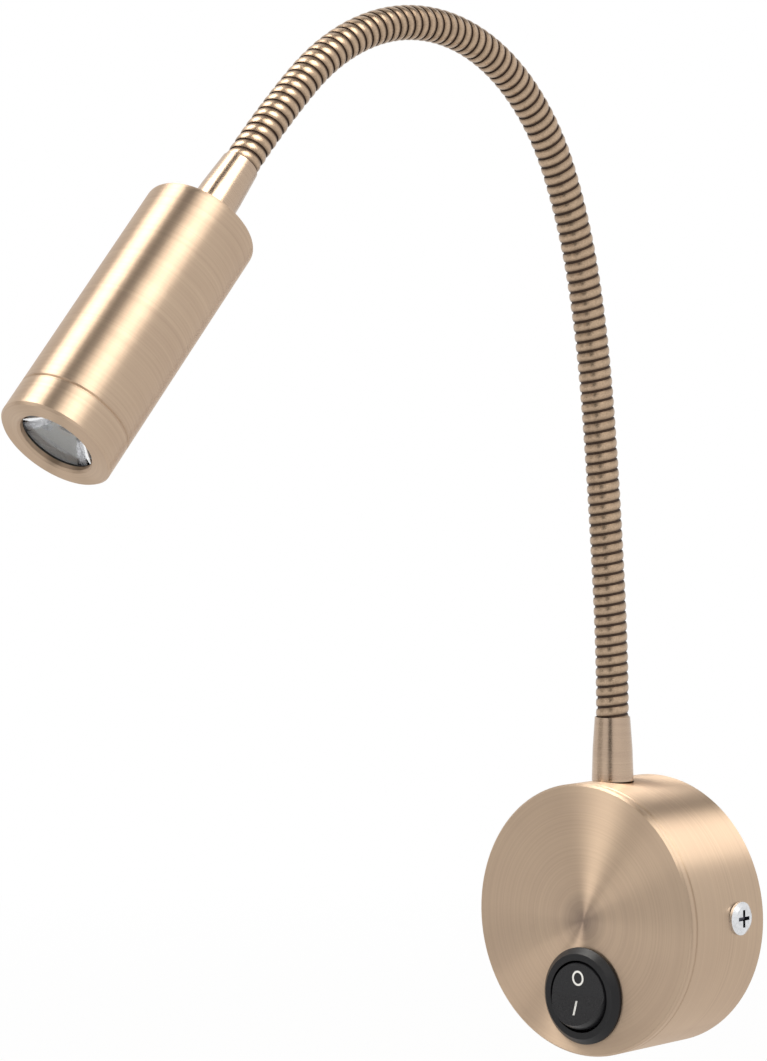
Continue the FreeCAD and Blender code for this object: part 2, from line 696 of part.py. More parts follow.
def make_canopy_leads():
    """The three mains leads inside the canopy."""
    level = number(LEAD_LEVEL)
    case_floor = number(DRIVER_LOW)
    side = size("terminal_width") - number(TERMINAL_LEFT)
    way_out = size("plate_thickness") + size("terminal_entry_height")
    heights = dict(terminal_heights())
    blade_end = size("canopy_depth") - size("switch_body_depth") - size("blade_reach")
    joint = blade_end + size("mains_lead_diameter") / 2
    blade = size("blade_width") / 2
    off_blade = blade + size("blade_run")
    common = -number(SWITCH_DROP)
    output = size("blade_offset") - number(SWITCH_DROP)
    along = size("component_offset")
    live = number(heights["live"])
    neutral = number(heights["neutral"])
    tail = side - size("lead_tail")
    outside = case_floor - size("lead_start")
    within = case_floor + size("lead_entry")
    make_lead("live_lead", "mains_lead_diameter", [
        FreeCAD.Vector(tail, -way_out, live), FreeCAD.Vector(side, -way_out, live),
        FreeCAD.Vector(-off_blade, -joint, common), FreeCAD.Vector(-blade, -joint, common)])
    make_lead("neutral_lead", "mains_lead_diameter", [
        FreeCAD.Vector(tail, -way_out, neutral), FreeCAD.Vector(side, -way_out, neutral),
        FreeCAD.Vector(side + size("neutral_sweep"), size("neutral_bow") - level,
                       case_floor - size("neutral_dip")),
        FreeCAD.Vector(-along, -level, outside), FreeCAD.Vector(-along, -level, within)])
    make_lead("switched_lead", "mains_lead_diameter", [
        FreeCAD.Vector(blade, -joint, output), FreeCAD.Vector(off_blade, -joint, output),
        FreeCAD.Vector(along, size("switched_bow") - level, case_floor - size("switched_dip")),
        FreeCAD.Vector(along, -level, outside), FreeCAD.Vector(along, -level, within)])


def make_lamp_lead(hinge_height):
    """The low-voltage lead from the driver up through the nut and ferrule into the hose."""
    level = number(LEAD_LEVEL)
    roof = number(DRIVER_HIGH)
    along = size("component_offset")
    out = number(HOSE_OUT)
    inside = size("canopy_diameter") / 2 - size("canopy_wall")
    make_lead("lamp_lead", "lamp_lead_diameter", [
        FreeCAD.Vector(along, -level, roof - size("lead_entry")),
        FreeCAD.Vector(along, -level, roof + size("lead_start")),
        FreeCAD.Vector(along / 2, -(level + out) / 2, (roof + inside - size("base_stub_length")) / 2),
        FreeCAD.Vector(0, -out, inside - size("base_stub_length") - size("lead_start")),
        FreeCAD.Vector(0, -out, hinge_height + size("lead_overhang"))])


# ---------------------------------------------------------------- ferrules and their nuts

def make_ferrule(name, length, stub):
    """Turned sleeve: a threaded stub below, a swelling foot, and a socket for the hose on top."""
    foot = "ferrule_foot_diameter / 2"
    belly = "ferrule_belly_diameter / 2"
    top = "ferrule_top_diameter / 2"
    socket = "hose_diameter / 2 + press_gap"
    bore = "stub_bore / 2"
    screw = "stub_diameter / 2"
    return turned(name, [
        (bore, f"-{stub}"), (screw, f"-{stub}"), (screw, "0"), (foot, "0"),
        (f"({foot} + {belly}) / 2", f"{length} / 4"), (belly, f"{length} / 2"), (top, length),
        (socket, length), (socket, f"{length} - ferrule_socket_depth"),
        (bore, f"{length} - ferrule_socket_depth")])


def make_base_ferrule():
    """Ferrule on top of the canopy, with the washer and nut inside."""
    seat = "canopy_diameter / 2"
    stub = "(canopy_wall + base_stub_length)"
    body = make_ferrule("base_ferrule_body", "base_ferrule_length", stub)
    place(body, "0", f"-{HOSE_OUT}", seat)
    piece(body, "base_ferrule")
    ceiling = "sqrt((canopy_diameter / 2 - canopy_wall)^2 - (washer_diameter / 2)^2)"
    washer = cut("base_washer_ring", rod("washer_disc", "washer_diameter / 2", "washer_thickness"),
                 [rod("washer_hole", "stub_diameter / 2 + screw_clearance", "washer_thickness")])
    place(washer, "0", f"-{HOSE_OUT}", f"{ceiling} - washer_thickness")
    piece(washer, "base_washer")
    nut = hexagon_nut("base_nut_hexagon", "stub_diameter / 2 + thread_gap", "nut_thickness")
    place(nut, "0", f"-{HOSE_OUT}", f"{ceiling} - washer_thickness - nut_thickness")
    piece(nut, "base_nut")


# ---------------------------------------------------------------- hose

def arc_step(length, bend):
    """Move along an arc that leaves along +Z and leans towards -Y, to its far end."""
    turn = math.radians(bend)
    radius = length / turn
    end = FreeCAD.Vector(0, -radius * (1 - math.cos(turn)), radius * math.sin(turn))
    return FreeCAD.Placement(end, FreeCAD.Rotation(FreeCAD.Vector(1, 0, 0), bend))


def bent_rod(radius, length, bend):
    """A round rod that follows such an arc."""
    swing = length / math.radians(bend)
    face = Part.Face(Part.Wire([Part.makeCircle(radius)]))
    return face.revolve(FreeCAD.Vector(0, -swing, 0), FreeCAD.Vector(1, 0, 0), bend)


def turn_bands(first, last, length, bend):
    """The raised turns of the winding between two places along a stretch."""
    pitch = size("turn_pitch")
    land = size("turn_land")
    count = int((last - first + pitch - land) / pitch)
    start = (first + last) / 2 - (count * pitch - (pitch - land)) / 2
    bands = []
    for index in range(count):
        middle = start + index * pitch + land / 2
        band = Part.makeCylinder(size("hose_diameter") / 2, land, FreeCAD.Vector(0, 0, -land / 2))
        band.Placement = arc_step(middle, bend * middle / length)
        bands.append(band)
    return bands


def hose_piece(length, bend, first, last):
    """A stretch of hose: cored rod with raised turns, a ball at the far hinge and a cup at the near one."""
    core = size("hose_diameter") / 2 - size("hose_groove_depth")
    bore = size("hose_bore") / 2
    end = arc_step(length, bend)
    ball = Part.makeSphere(core)
    ball.Placement = end
    solid = bent_rod(core, length, bend).fuse([ball] + turn_bands(first, last, length, bend))
    way = bent_rod(bore, length, bend)
    tail = Part.makeCylinder(bore, size("hose_diameter"))
    tail.Placement = end
    return solid.cut(way).cut(tail)


def cup():
    """The hollow at a near hinge that the neighbour's ball turns in."""
    return Part.makeSphere(size("hose_diameter") / 2 - size("hose_groove_depth") + size("ball_gap"))


def make_hose_root():
    """The fixed end of the hose in the base ferrule, with the first ball above it."""
    bottom = size("canopy_diameter") / 2 + size("base_ferrule_length") - size("hose_insert")
    length = size("hose_insert") + size("hinge_offset")
    core = size("hose_diameter") / 2 - size("hose_groove_depth")
    solid = Part.makeCylinder(core, length).fuse(Part.makeSphere(core, FreeCAD.Vector(0, 0, length)))
    collar = Part.makeCylinder(size("hose_diameter") / 2, size("hose_insert"))
    bore = Part.makeCylinder(size("hose_bore") / 2, length + size("hose_diameter"))
    root = doc.addObject("Part::Feature", "hose_root_winding")
    root.Shape = solid.fuse(collar).cut(bore).removeSplitter()
    root.Placement = FreeCAD.Placement(FreeCAD.Vector(0, -number(HOSE_OUT), bottom), UPRIGHT)
    piece(root, "hose_root")
    return bottom + length


def make_hose_stretches(frame):
    """The movable stretches and the lead inside each; returns the frame at the last hinge."""
    length = (size("hose_length") - 2 * size("hinge_offset")) / STRETCHES
    near = math.sqrt(cup().BoundBox.ZMax**2 - (size("hose_diameter") / 2)**2)
    for index in range(1, STRETCHES + 1):
        bend = size(f"bend_angle_{index:02d}")
        winding = doc.addObject("Part::Feature", f"stretch_{index:02d}")
        far = length - size("hinge_turn_gap")
        winding.Shape = hose_piece(length, bend, near, far).cut(cup())
        winding.Placement = frame
        piece(winding, f"hose_stretch_{index:02d}")
        lead = doc.addObject("Part::Feature", f"lead_{index:02d}")
        radius = size("lamp_lead_diameter") / 2
        overhang = Part.makeCylinder(radius, size("lead_overhang"))
        overhang.Placement = arc_step(length, bend)
        lead.Shape = bent_rod(radius, length, bend).fuse(overhang).cut(cup()).removeSplitter()
        lead.Placement = frame
        piece(lead, f"hose_lead_{index:02d}")
        frame = frame.multiply(arc_step(length, bend))
    return frame


# ---------------------------------------------------------------- head

def on_head(thing, frame, along="0"):
    """Put a head piece at a distance along the head's axis."""
    base = frame.multiply(FreeCAD.Placement(FreeCAD.Vector(0, 0, number(along)), UPRIGHT))
    thing.Placement = base
    return thing


TOP = "(hinge_offset + head_ferrule_length)"
BARREL_BORE = "(head_diameter / 2 - head_wall)"
SLUG_START = ("(head_length - bezel_length - bezel_spigot_length - slug_length"
              " - led_board_setback + led_board_thickness)")
BOARD_START = f"({SLUG_START} + slug_length)"
BOARD_TOP = f"({BOARD_START} + led_board_thickness)"
LENS_FRONT = "(head_length - bezel_lip - lens_seal_thickness)"


def make_hose_tip(frame):
    """The end of the hose that is held in the head's ferrule."""
    core = size("hose_diameter") / 2 - size("hose_groove_depth")
    length = size("hinge_offset") + size("hose_insert")
    solid = Part.makeCylinder(core, length)
    collar = Part.makeCylinder(size("hose_diameter") / 2, length)
    bore = Part.makeCylinder(size("hose_bore") / 2, length)
    tip = doc.addObject("Part::Feature", "hose_tip_winding")
    tip.Shape = solid.fuse(collar).cut(bore).cut(cup()).removeSplitter()
    tip.Placement = frame
    piece(tip, "hose_tip")


def make_head_ferrule(frame):
    """Ferrule between hose and head; its stub goes through the barrel's top."""
    body = make_ferrule("head_ferrule_body", "head_ferrule_length", "(head_top_wall + head_stub_length)")
    half_turn = FreeCAD.Placement(FreeCAD.Vector(), FreeCAD.Rotation(FreeCAD.Vector(1, 0, 0), 180))
    on_head(body, frame, TOP)
    body.Placement = body.Placement.multiply(half_turn)
    piece(body, "head_ferrule")
    nut = hexagon_nut("head_nut_hexagon", "stub_diameter / 2 + thread_gap", "nut_thickness")
    piece(on_head(nut, frame, f"{TOP} + head_top_wall"), "head_nut")


def make_head_barrel(frame):
    """Turned barrel, closed on top, with a rounded top edge."""
    outer = "head_diameter / 2"
    mouth = "head_length - bezel_length"
    body = turned("barrel", [
        ("stub_diameter / 2 + screw_clearance", "0"), (outer, "0"), (outer, f"{mouth} - seam_chamfer"),
        (f"{outer} - seam_chamfer", mouth), (BARREL_BORE, mouth), (BARREL_BORE, "head_top_wall"),
        ("stub_diameter / 2 + screw_clearance", "head_top_wall")])
    turn = body.Group[-1]
    rim = next(f"Edge{index + 1}" for index, edge in enumerate(turn.Shape.Edges)
               if abs(edge.BoundBox.XMax - number(outer)) < SAME_PLACE and edge.BoundBox.ZMax < SAME_PLACE)
    rounding = body.newObject("PartDesign::Fillet", "barrel_top_fillet")
    rounding.Base = (turn, [rim])
    bind(rounding, Radius="head_top_fillet")
    piece(on_head(body, frame, TOP), "head_barrel")


def make_heat_sink(frame):
    """Metal slug that carries the board and passes its heat to the barrel."""
    blank = rod("slug_blank", f"{BARREL_BORE} - press_gap", "slug_length")
    tools = [rod("slug_lead_hole", LAMP_HOLE, "slug_length", "0", "-slug_lead_offset", "0")]
    for side, sign in (("right", ""), ("left", "-")):
        tools.append(rod(f"slug_screw_hole_{side}", "board_screw_diameter / 2 + thread_gap", "slug_length",
                         f"{sign}board_screw_circle / 2", "0", "slug_length / 3"))
    piece(on_head(cut("slug", blank, tools), frame, f"{TOP} + {SLUG_START}"), "heat_sink")


def make_led_board(frame):
    """Round board on the slug, its emitter and its two screws."""
    blank = rod("board_blank", "led_board_diameter / 2", "led_board_thickness")
    tools = [rod("board_lead_hole", LAMP_HOLE, "led_board_thickness", "0", "-slug_lead_offset", "0")]
    screws = []
    for side, sign in (("right", ""), ("left", "-")):
        across = f"{sign}board_screw_circle / 2"
        tools.append(rod(f"board_screw_hole_{side}", "board_screw_diameter / 2 + screw_clearance",
                         "led_board_thickness", across, "0", "0"))
        shank = rod(f"board_screw_shank_{side}", "board_screw_diameter / 2", "board_screw_length",
                    across, "0", "led_board_thickness - board_screw_length")
        head = rod(f"board_screw_head_{side}", "board_screw_head_diameter / 2",
                   "board_screw_head_height", across, "0", "led_board_thickness")
        screws.append(join(f"board_screw_{side}", [shank, head]))
    start = f"{TOP} + {BOARD_START}"
    piece(on_head(cut("board", blank, tools), frame, start), "led_board")
    piece(on_head(group("board_screw_pair", screws), frame, start), "board_screws")
    base = doc.addObject("Part::Box", "emitter_base_block")
    bind(base, Length="emitter_base", Width="emitter_base", Height="emitter_base_height")
    place(base, "-emitter_base / 2", "-emitter_base / 2", "0")
    dome = doc.addObject("Part::Sphere", "emitter_dome_ball")
    bind(dome, Radius="emitter_dome_diameter / 2")
    dome.Angle1 = 0
    place(dome, "0", "0", "emitter_base_height")
    emitter = join("emitter", [base, dome])
    piece(on_head(emitter, frame, f"{TOP} + {BOARD_TOP}"), "led_emitter")


def make_optics(frame):
    """The clear lens, its holder, the seal in front of it and the bezel ring that holds them."""
    front = LENS_FRONT
    flange = "lens_flange_diameter / 2"
    shoulder = f"{front} - lens_flange_thickness"
    well = "lens_well_diameter / 2"
    lens_start = f"{BOARD_TOP} + lens_rear_gap"
    lens_well = f"{BOARD_TOP} + emitter_base_height + emitter_dome_diameter / 2 + lens_well_gap"
    lens = turned("lens_body", [
        ("0", lens_well), (well, lens_well), (well, lens_start),
        ("lens_rear_diameter / 2", lens_start), ("lens_front_diameter / 2", shoulder), (flange, shoulder),
        (flange, front), ("0", front)])
    piece(on_head(lens, frame, TOP), "lens")
    holder_end = f"{shoulder} - holder_end_gap"
    holder = turned("holder", [
        (f"{flange} - holder_wall", BOARD_TOP), (flange, BOARD_TOP), (flange, holder_end),
        (f"{flange} - holder_wall", holder_end)])
    piece(on_head(holder, frame, TOP), "lens_holder")
    seal = turned("seal", [
        ("lens_opening / 2 + holder_gap", front), ("lens_seal_diameter / 2", front),
        ("lens_seal_diameter / 2", f"{front} + lens_seal_thickness"),
        ("lens_opening / 2 + holder_gap", f"{front} + lens_seal_thickness")])
    piece(on_head(seal, frame, TOP), "lens_seal")
    rim = "head_diameter / 2"
    mouth = "head_length - bezel_length"
    spigot = f"{BARREL_BORE} - press_gap"
    inner = f"{spigot} - bezel_spigot_wall"
    bezel = turned("bezel", [
        (inner, f"{mouth} - bezel_spigot_length"), (spigot, f"{mouth} - bezel_spigot_length"),
        (spigot, mouth), (f"{rim} - seam_chamfer", mouth), (rim, f"{mouth} + seam_chamfer"),
        (rim, "head_length - bezel_chamfer"),
        (f"{rim} - bezel_chamfer", "head_length"), ("lens_opening / 2 + bezel_chamfer", "head_length"),
        ("lens_opening / 2", "head_length - bezel_chamfer"), ("lens_opening / 2", "head_length - bezel_lip"),
        (inner, "head_length - bezel_lip")])
    piece(on_head(bezel, frame, TOP), "bezel_ring")


def make_head_lead(frame):
    """The lead from the last hinge through the ferrule and slug to the board."""
    start = cup().BoundBox.ZMax
    top = number(TOP)
    straight = top + size("head_top_wall") + size("head_stub_length")
    slug = top + number(SLUG_START)
    end = top + number(BOARD_TOP)
    aside = -size("slug_lead_offset")
    gap = size("lead_start")
    places = [(0, start), (0, straight + gap), (aside / 2, (straight + slug) / 2), (aside, slug - gap),
              (aside, end)]
    make_lead("head_lead", "lamp_lead_diameter",
              [frame.multVec(FreeCAD.Vector(0, across, along)) for across, along in places])


# ---------------------------------------------------------------- the whole lamp

def check_all():
    """Stop if any object failed or any sub-part has no sound shape."""
    for thing in doc.Objects:
        if any(word in ("Invalid", "Error") for word in thing.State):
            raise RuntimeError(f"{thing.Name} failed: {thing.State}")
    for thing in pieces:
        if thing.Shape.isNull() or not thing.Shape.isValid() or not thing.Shape.Solids:
            raise RuntimeError(f"{thing.Label} has no sound shape")


def export_all():
    """Write one file for each sub-part."""
    os.makedirs("parts", exist_ok=True)
    for thing in pieces:
        thing.Shape.exportStep(f"parts/{thing.Label}.step")


def main():
    """Build the lamp from the wall outwards and then up the hose to the head."""
    make_wall_plate()
    make_grommet()
    make_canopy_ring()
    make_front_plate()
    make_side_screws()
    make_switch_housing()
    make_rocker()
    make_plunger()
    make_plunger_spring()
    make_contact_lever()
    make_switch_terminals()
    make_driver_case()
    make_driver_inside()
    make_terminal_block()
    make_canopy_leads()
    make_base_ferrule()
    hinge_height = make_hose_root()
    make_lamp_lead(hinge_height)
    first = FreeCAD.Placement(FreeCAD.Vector(0, -number(HOSE_OUT), hinge_height), UPRIGHT)
    head = make_hose_stretches(first)
    make_hose_tip(head)
    make_head_ferrule(head)
    make_head_barrel(head)
    make_heat_sink(head)
    make_led_board(head)
    make_optics(head)
    make_head_lead(head)
    doc.recompute()
    check_all()
    export_all()


main()
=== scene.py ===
"""Bedside wall reading lamp in brushed antique brass.

It has a wound hose, a black rocker switch and a clear lens.

The packed model is the frame. This script finishes its surfaces, winds the hose along its hinges,
prints the marks on the switch and sets the lamp in a pale studio.
"""
import json
import math

import bmesh
import bpy
from bpy.props import FloatProperty, FloatVectorProperty, IntProperty, PointerProperty
from mathutils import Matrix, Vector
from mathutils.bvhtree import BVHTree


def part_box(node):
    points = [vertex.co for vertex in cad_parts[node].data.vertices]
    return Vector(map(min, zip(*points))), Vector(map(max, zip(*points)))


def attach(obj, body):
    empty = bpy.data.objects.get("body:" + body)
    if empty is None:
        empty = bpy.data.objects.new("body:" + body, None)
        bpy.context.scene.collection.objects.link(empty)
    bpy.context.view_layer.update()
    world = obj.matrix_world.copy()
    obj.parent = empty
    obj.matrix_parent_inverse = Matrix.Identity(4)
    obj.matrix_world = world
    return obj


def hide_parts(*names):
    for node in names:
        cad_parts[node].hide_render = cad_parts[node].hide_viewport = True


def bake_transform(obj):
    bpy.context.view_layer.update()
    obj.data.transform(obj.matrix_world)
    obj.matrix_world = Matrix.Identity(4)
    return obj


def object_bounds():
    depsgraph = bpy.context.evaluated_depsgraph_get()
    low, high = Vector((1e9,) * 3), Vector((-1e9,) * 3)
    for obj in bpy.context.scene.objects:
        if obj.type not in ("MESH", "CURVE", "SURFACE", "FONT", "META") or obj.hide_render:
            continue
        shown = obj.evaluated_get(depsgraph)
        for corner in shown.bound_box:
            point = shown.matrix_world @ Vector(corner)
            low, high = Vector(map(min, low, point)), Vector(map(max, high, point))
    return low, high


bl_info = {
    "name": "Reading lamp finishes",
    "version": (1, 0, 0),
    "blender": (4, 5, 0),
    "location": "View3D > Sidebar > Reading lamp",
    "description": "Finishes the brass, hose, switch and lens of a wall reading lamp",
    "category": "Object",
}

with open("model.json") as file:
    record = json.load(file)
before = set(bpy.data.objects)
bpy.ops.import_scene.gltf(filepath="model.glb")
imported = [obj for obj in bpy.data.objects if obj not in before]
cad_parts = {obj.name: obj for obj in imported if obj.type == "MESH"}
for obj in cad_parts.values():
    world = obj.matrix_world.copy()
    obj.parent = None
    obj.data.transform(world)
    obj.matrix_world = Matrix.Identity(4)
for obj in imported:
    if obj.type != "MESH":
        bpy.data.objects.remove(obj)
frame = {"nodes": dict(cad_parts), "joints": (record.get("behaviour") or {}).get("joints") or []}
cad_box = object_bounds()

CANOPY_AXIS = Vector((0.0, 1.0, 0.0))
HOSE_SIDE = Vector((1.0, 0.0, 0.0))

# Edges sharper than this stay crisp.
SPLIT_ANGLE = math.radians(35)
# Points of the winding closer than this become one, in metres.
WELD_GAP = 1e-6
# Edges shorter than this are taken out, in metres.
TINY_EDGE = 1e-7
# A stretch of hose whose half bend is below this counts as straight, in radians.
STRAIGHT_BEND = 1e-6
# The marks are laid on the rocker from this far in front of the wall, in metres.
MARK_RAY_START = -0.1

# Noise scales are in cycles a metre.
PATINA_SCALE = 45.0
WEAR_SCALE = 420.0
BAND_SCALE = 2600.0
SPARK_SCALE = 3200.0
CLOUD_SCALE = 160.0
HANDLING_SCALE = 900.0
HAZE_SCALE = 700.0

# Heights of the finest relief, in metres.
BRUSH_RELIEF = 0.000006
BAND_RELIEF = 0.000004
SPARK_RELIEF = 0.000006
HANDLING_RELIEF = 0.00001

# The camera, fitted to the canopy's two rims, the hose and the head. The sensor is in millimetres.
SENSOR_SIZE = 36.0
NEAR_CLIP = 0.05
CAMERA_PLACE = Vector((0.5797, -0.7334, 0.1360))
CAMERA_FORWARD = Vector((-0.6736, 0.7377, -0.0454))
CAMERA_UPWARD = Vector((-0.0253, 0.0383, 0.9989))

# The studio. Each light or card hangs in its direction from the aim, at its distance.
AIM = Vector((0.0, -0.1, 0.1))
KEY_DIRECTION = Vector((0.58, -0.1, 0.81))
KEY_DISTANCE = 1.3
KEY_SIDES = (0.85, 0.9)
TOP_DIRECTION = Vector((-0.42, -0.35, 0.85))
TOP_DISTANCE = 1.2
TOP_SIDES = (0.6, 0.7)
TOP_CARD_DIRECTION = Vector((0.06, 0.0, 1.0))
FRONT_CARD_DIRECTION = Vector((0.45, -0.89, 0.0))
LEFT_CARD_DIRECTION = Vector((-0.67, -0.74, -0.05))
CARD_DISTANCE = 1.0
LEFT_CARD_DISTANCE = 1.2
TOP_CARD_LENGTH = 3.0
FRONT_CARD_HEIGHT = 1.8
LEFT_CARD_HEIGHT = 1.2
BLACK = 0.01
MID_GREY = 0.5
FLOOR_REACH = 6.0
FLOOR_ROUGHNESS = 0.9
# Share of plain white that the camera sees in the floor near the lamp.
NEAR_WHITE = 0.9
WARM_WHITE = (1.0, 0.97, 0.91)
ROOM_TINT = (1.0, 0.985, 0.965, 1.0)
PURE_WHITE = (1.0, 1.0, 1.0, 1.0)

# Finishes of the parts inside: material, colour, roughness and the nodes that wear it.
INSIDE_METALS = (
    ("contact_brass", (0.72, 0.5, 0.24), 0.3, ("contact_lever", "switch_terminals")),
    ("spring_steel", (0.5, 0.5, 0.52), 0.25, ("plunger_spring",)),
    ("turned_aluminium", (0.74, 0.74, 0.76), 0.3, ("heat_sink",)),
)
HOSE_LEADS = tuple(name for name in frame["nodes"] if name.startswith("hose_lead_"))
INSIDE_PLASTICS = (
    ("grey_rubber", (0.05, 0.05, 0.05), 0.65, ("cable_grommet",)),
    ("white_case", (0.8, 0.8, 0.78), 0.4, ("driver_case", "driver_lid", "terminal_block")),
    ("green_board", (0.02, 0.12, 0.045), 0.3, ("driver_board",)),
    ("dark_winding", (0.03, 0.03, 0.03), 0.4, ("driver_transformer", "driver_capacitor")),
    ("white_lead", (0.8, 0.8, 0.78), 0.35, ("lamp_lead", "head_lead", *HOSE_LEADS)),
    ("brown_lead", (0.12, 0.045, 0.02), 0.35, ("live_lead",)),
    ("black_lead", (0.02, 0.02, 0.02), 0.35, ("switched_lead",)),
    ("blue_lead", (0.02, 0.08, 0.4), 0.35, ("neutral_lead",)),
)


# ---------------------------------------------------------------- settings

def length(label, text, default):
    """A length in metres, as a setting."""
    return FloatProperty(name=label, description=text, default=default, unit="LENGTH", precision=5)


def share(label, text, default):
    """A number from 0 to 1, as a setting."""
    return FloatProperty(name=label, description=text, default=default, min=0.0, max=1.0,
                         subtype="FACTOR")


def colour(label, text, default):
    """A linear colour, as a setting."""
    return FloatVectorProperty(name=label, description=text, default=default, size=3, subtype="COLOR",
                               min=0.0, max=1.0)


class LampBrassSettings(bpy.types.PropertyGroup):
    """Brushed antique brass on the turned parts"""
    light: colour("Brass", "Colour on the crests of the brushing", (0.67, 0.515, 0.37))
    shade: colour("Shade", "Colour down in the brushing", (0.49, 0.355, 0.265))
    dull: colour("Dull", "Colour at the very centre of a turned face", (0.17, 0.125, 0.11))
    roughness: share("Roughness", "Blur of the reflections along the brushing", 0.45)
    polish: share("Polish", "Blur of the reflections on the ferrules", 0.3)
    stretch: share("Stretch", "How far reflections draw out across the brushing", 0.95)
    grain: length("Grain", "Width of the coarse brush bands", 0.0006)
    dull_share: share("Dull share", "How far the centre of a turned face goes dull", 0.7)
    dull_radius: length("Dull radius", "Radius at which the dull centre has faded away", 0.0075)


class LampHoseSettings(bpy.types.PropertyGroup):
    """Bands of the wound hose"""
    radius: length("Radius", "Radius over the crown of the bands", 0.004)
    pitch: length("Pitch", "Advance of the winding in one turn", 0.00248)
    band: length("Band", "Width of one band", 0.0019)
    groove: length("Groove", "Depth of the groove between bands", 0.00042)
    crown: length("Crown", "Rise of a band from its edges to its middle", 0.0002)
    wall: length("Wall", "Thickness of the winding", 0.0009)
    insert: length("Insert", "Length hidden in each ferrule", 0.003)
    turn_points: IntProperty(name="Points a turn", description="Steps round the hose", default=28,
                             min=8)
    light: colour("Brass", "Colour on the bands", (0.58, 0.425, 0.295))
    dark: colour("Groove", "Colour of the tarnish in the grooves", (0.06, 0.034, 0.022))


class LampScrewSettings(bpy.types.PropertyGroup):
    """Zinc plated screws beside the canopy"""
    zinc: colour("Zinc", "Colour of the plating", (0.78, 0.79, 0.81))
    roughness: share("Roughness", "Blur of the reflections on the plating", 0.27)
    # Painted shade: the cross recess is drawn in this dark colour in place of the shade that falls in
    # it.
    dirt: colour("Dirt", "Colour down in the cross recess", (0.09, 0.09, 0.11))
    recess_radius: length("Recess radius", "Reach of the cross recess from the screw's axis", 0.0023)
    skin: length("Skin", "Depth below the head's top at which the dirt begins", 0.00015)


class LampMarkSettings(bpy.types.PropertyGroup):
    """White marks printed on the rocker"""
    ring_height: length("Ring height", "Height of the off mark", 0.0037)
    ring_width: length("Ring width", "Width of the off mark", 0.0035)
    ring_drop: length("Ring drop", "Depth of the off mark below the canopy's centre", 0.0138)
    bar_height: length("Bar height", "Height of the on mark", 0.0033)
    bar_drop: length("Bar drop", "Depth of the on mark's middle below the canopy's centre", 0.0209)
    stroke: length("Stroke", "Width of the printed line", 0.0005)
    ink: length("Ink", "Rise of the ink from the rocker's face", 0.00004)
    paint: colour("Ink colour", "Colour of the marks", (0.86, 0.86, 0.84))
    matt: share("Matt", "Blur of the reflections on the ink", 0.5)


class LampSwitchSettings(bpy.types.PropertyGroup):
    """Black plastic of the switch"""
    bezel: colour("Bezel", "Colour of the bezel", (0.008, 0.008, 0.0095))
    bezel_roughness: share("Bezel roughness", "Blur of the reflections on the bezel", 0.36)
    bezel_gloss: share("Bezel gloss", "Strength of the reflections on the bezel", 0.3)
    rocker: colour("Rocker", "Colour of the rocker", (0.011, 0.011, 0.013))
    rocker_roughness: share("Rocker roughness", "Blur of the reflections on the rocker", 0.3)
    rocker_gloss: share("Rocker gloss", "Strength of the reflections on the rocker", 0.35)


class LampLensSettings(bpy.types.PropertyGroup):
    """Lens and what is seen through it"""
    clear: colour("Lens", "Colour of the clear plastic", (0.96, 0.97, 0.98))
    clear_roughness: share("Lens roughness", "Blur of what is seen through the lens", 0.02)
    index: FloatProperty(name="Index", description="How strongly the lens bends light", default=1.49)
    silver: colour("Holder", "Colour of the silvered holder", (0.9, 0.9, 0.93))
    silver_roughness: share("Holder roughness", "Blur of the reflections on the holder", 0.28)
    seal: colour("Seal", "Colour of the rubber seal", (0.03, 0.03, 0.03))
    seal_roughness: share("Seal roughness", "Blur of the reflections on the seal", 0.6)
    board: colour("Board", "Colour of the light source's board", (0.8, 0.8, 0.77))
    board_roughness: share("Board roughness", "Blur of the reflections on the board", 0.3)
    phosphor: colour("Phosphor", "Colour of the unlit light source", (0.9, 0.42, 0.08))
    phosphor_roughness: share("Phosphor roughness", "Blur of the reflections on the light source", 0.35)


class LampStageSettings(bpy.types.PropertyGroup):
    """Camera, floor and lights"""
    lens: FloatProperty(name="Lens", description="Focal length for a 36 mm frame height",
                        default=128.89)
    key: FloatProperty(name="Key light", description="Power of the light from above on the right",
                       default=13.0, subtype="POWER")
    top: FloatProperty(name="Top light", description="Power of the light from above on the left",
                       default=10.0, subtype="POWER")
    world: FloatProperty(name="World", description="Strength of the even light from the room",
                         default=0.55)
    floor_drop: length("Floor drop", "Gap between the lamp and the floor below it", 0.1)
    floor_colour: colour("Floor", "Colour of the floor", (0.75, 0.75, 0.75))
    top_card: length("Top card", "Width of the black card above the lamp", 0.4)
    front_card: length("Front card", "Width of the black card beside the camera", 0.43)
    left_card: length("Left card", "Width of the grey card to the left of the camera", 0.8)
    fade_start: length("Fade start", "Distance at which the floor begins to whiten", 0.3)
    fade_end: length("Fade end", "Distance at which the floor is white", 1.0)


SETTINGS = {
    "lamp_brass": LampBrassSettings,
    "lamp_hose": LampHoseSettings,
    "lamp_screws": LampScrewSettings,
    "lamp_marks": LampMarkSettings,
    "lamp_switch": LampSwitchSettings,
    "lamp_lens": LampLensSettings,
    "lamp_stage": LampStageSettings,
}


# ---------------------------------------------------------------- node helpers

def add_node(tree, kind, values=None, **settings):
    """A node with its settings made and its sockets filled or linked, by socket name or number."""
    node = tree.nodes.new(kind)
    for name, value in settings.items():
        setattr(node, name, value)
    for key, value in (values or {}).items():
        if isinstance(value, bpy.types.NodeSocket):
            tree.links.new(value, node.inputs[key])
        else:
            node.inputs[key].default_value = value
    return node


def math_node(tree, operation, *values):
    """Output of one sum."""
    return add_node(tree, "ShaderNodeMath", dict(enumerate(values)), operation=operation).outputs[0]


def vector_node(tree, operation, *values):
    """Vector output of one vector sum."""
    node = add_node(tree, "ShaderNodeVectorMath", dict(enumerate(values)), operation=operation)
    return node.outputs["Vector"]


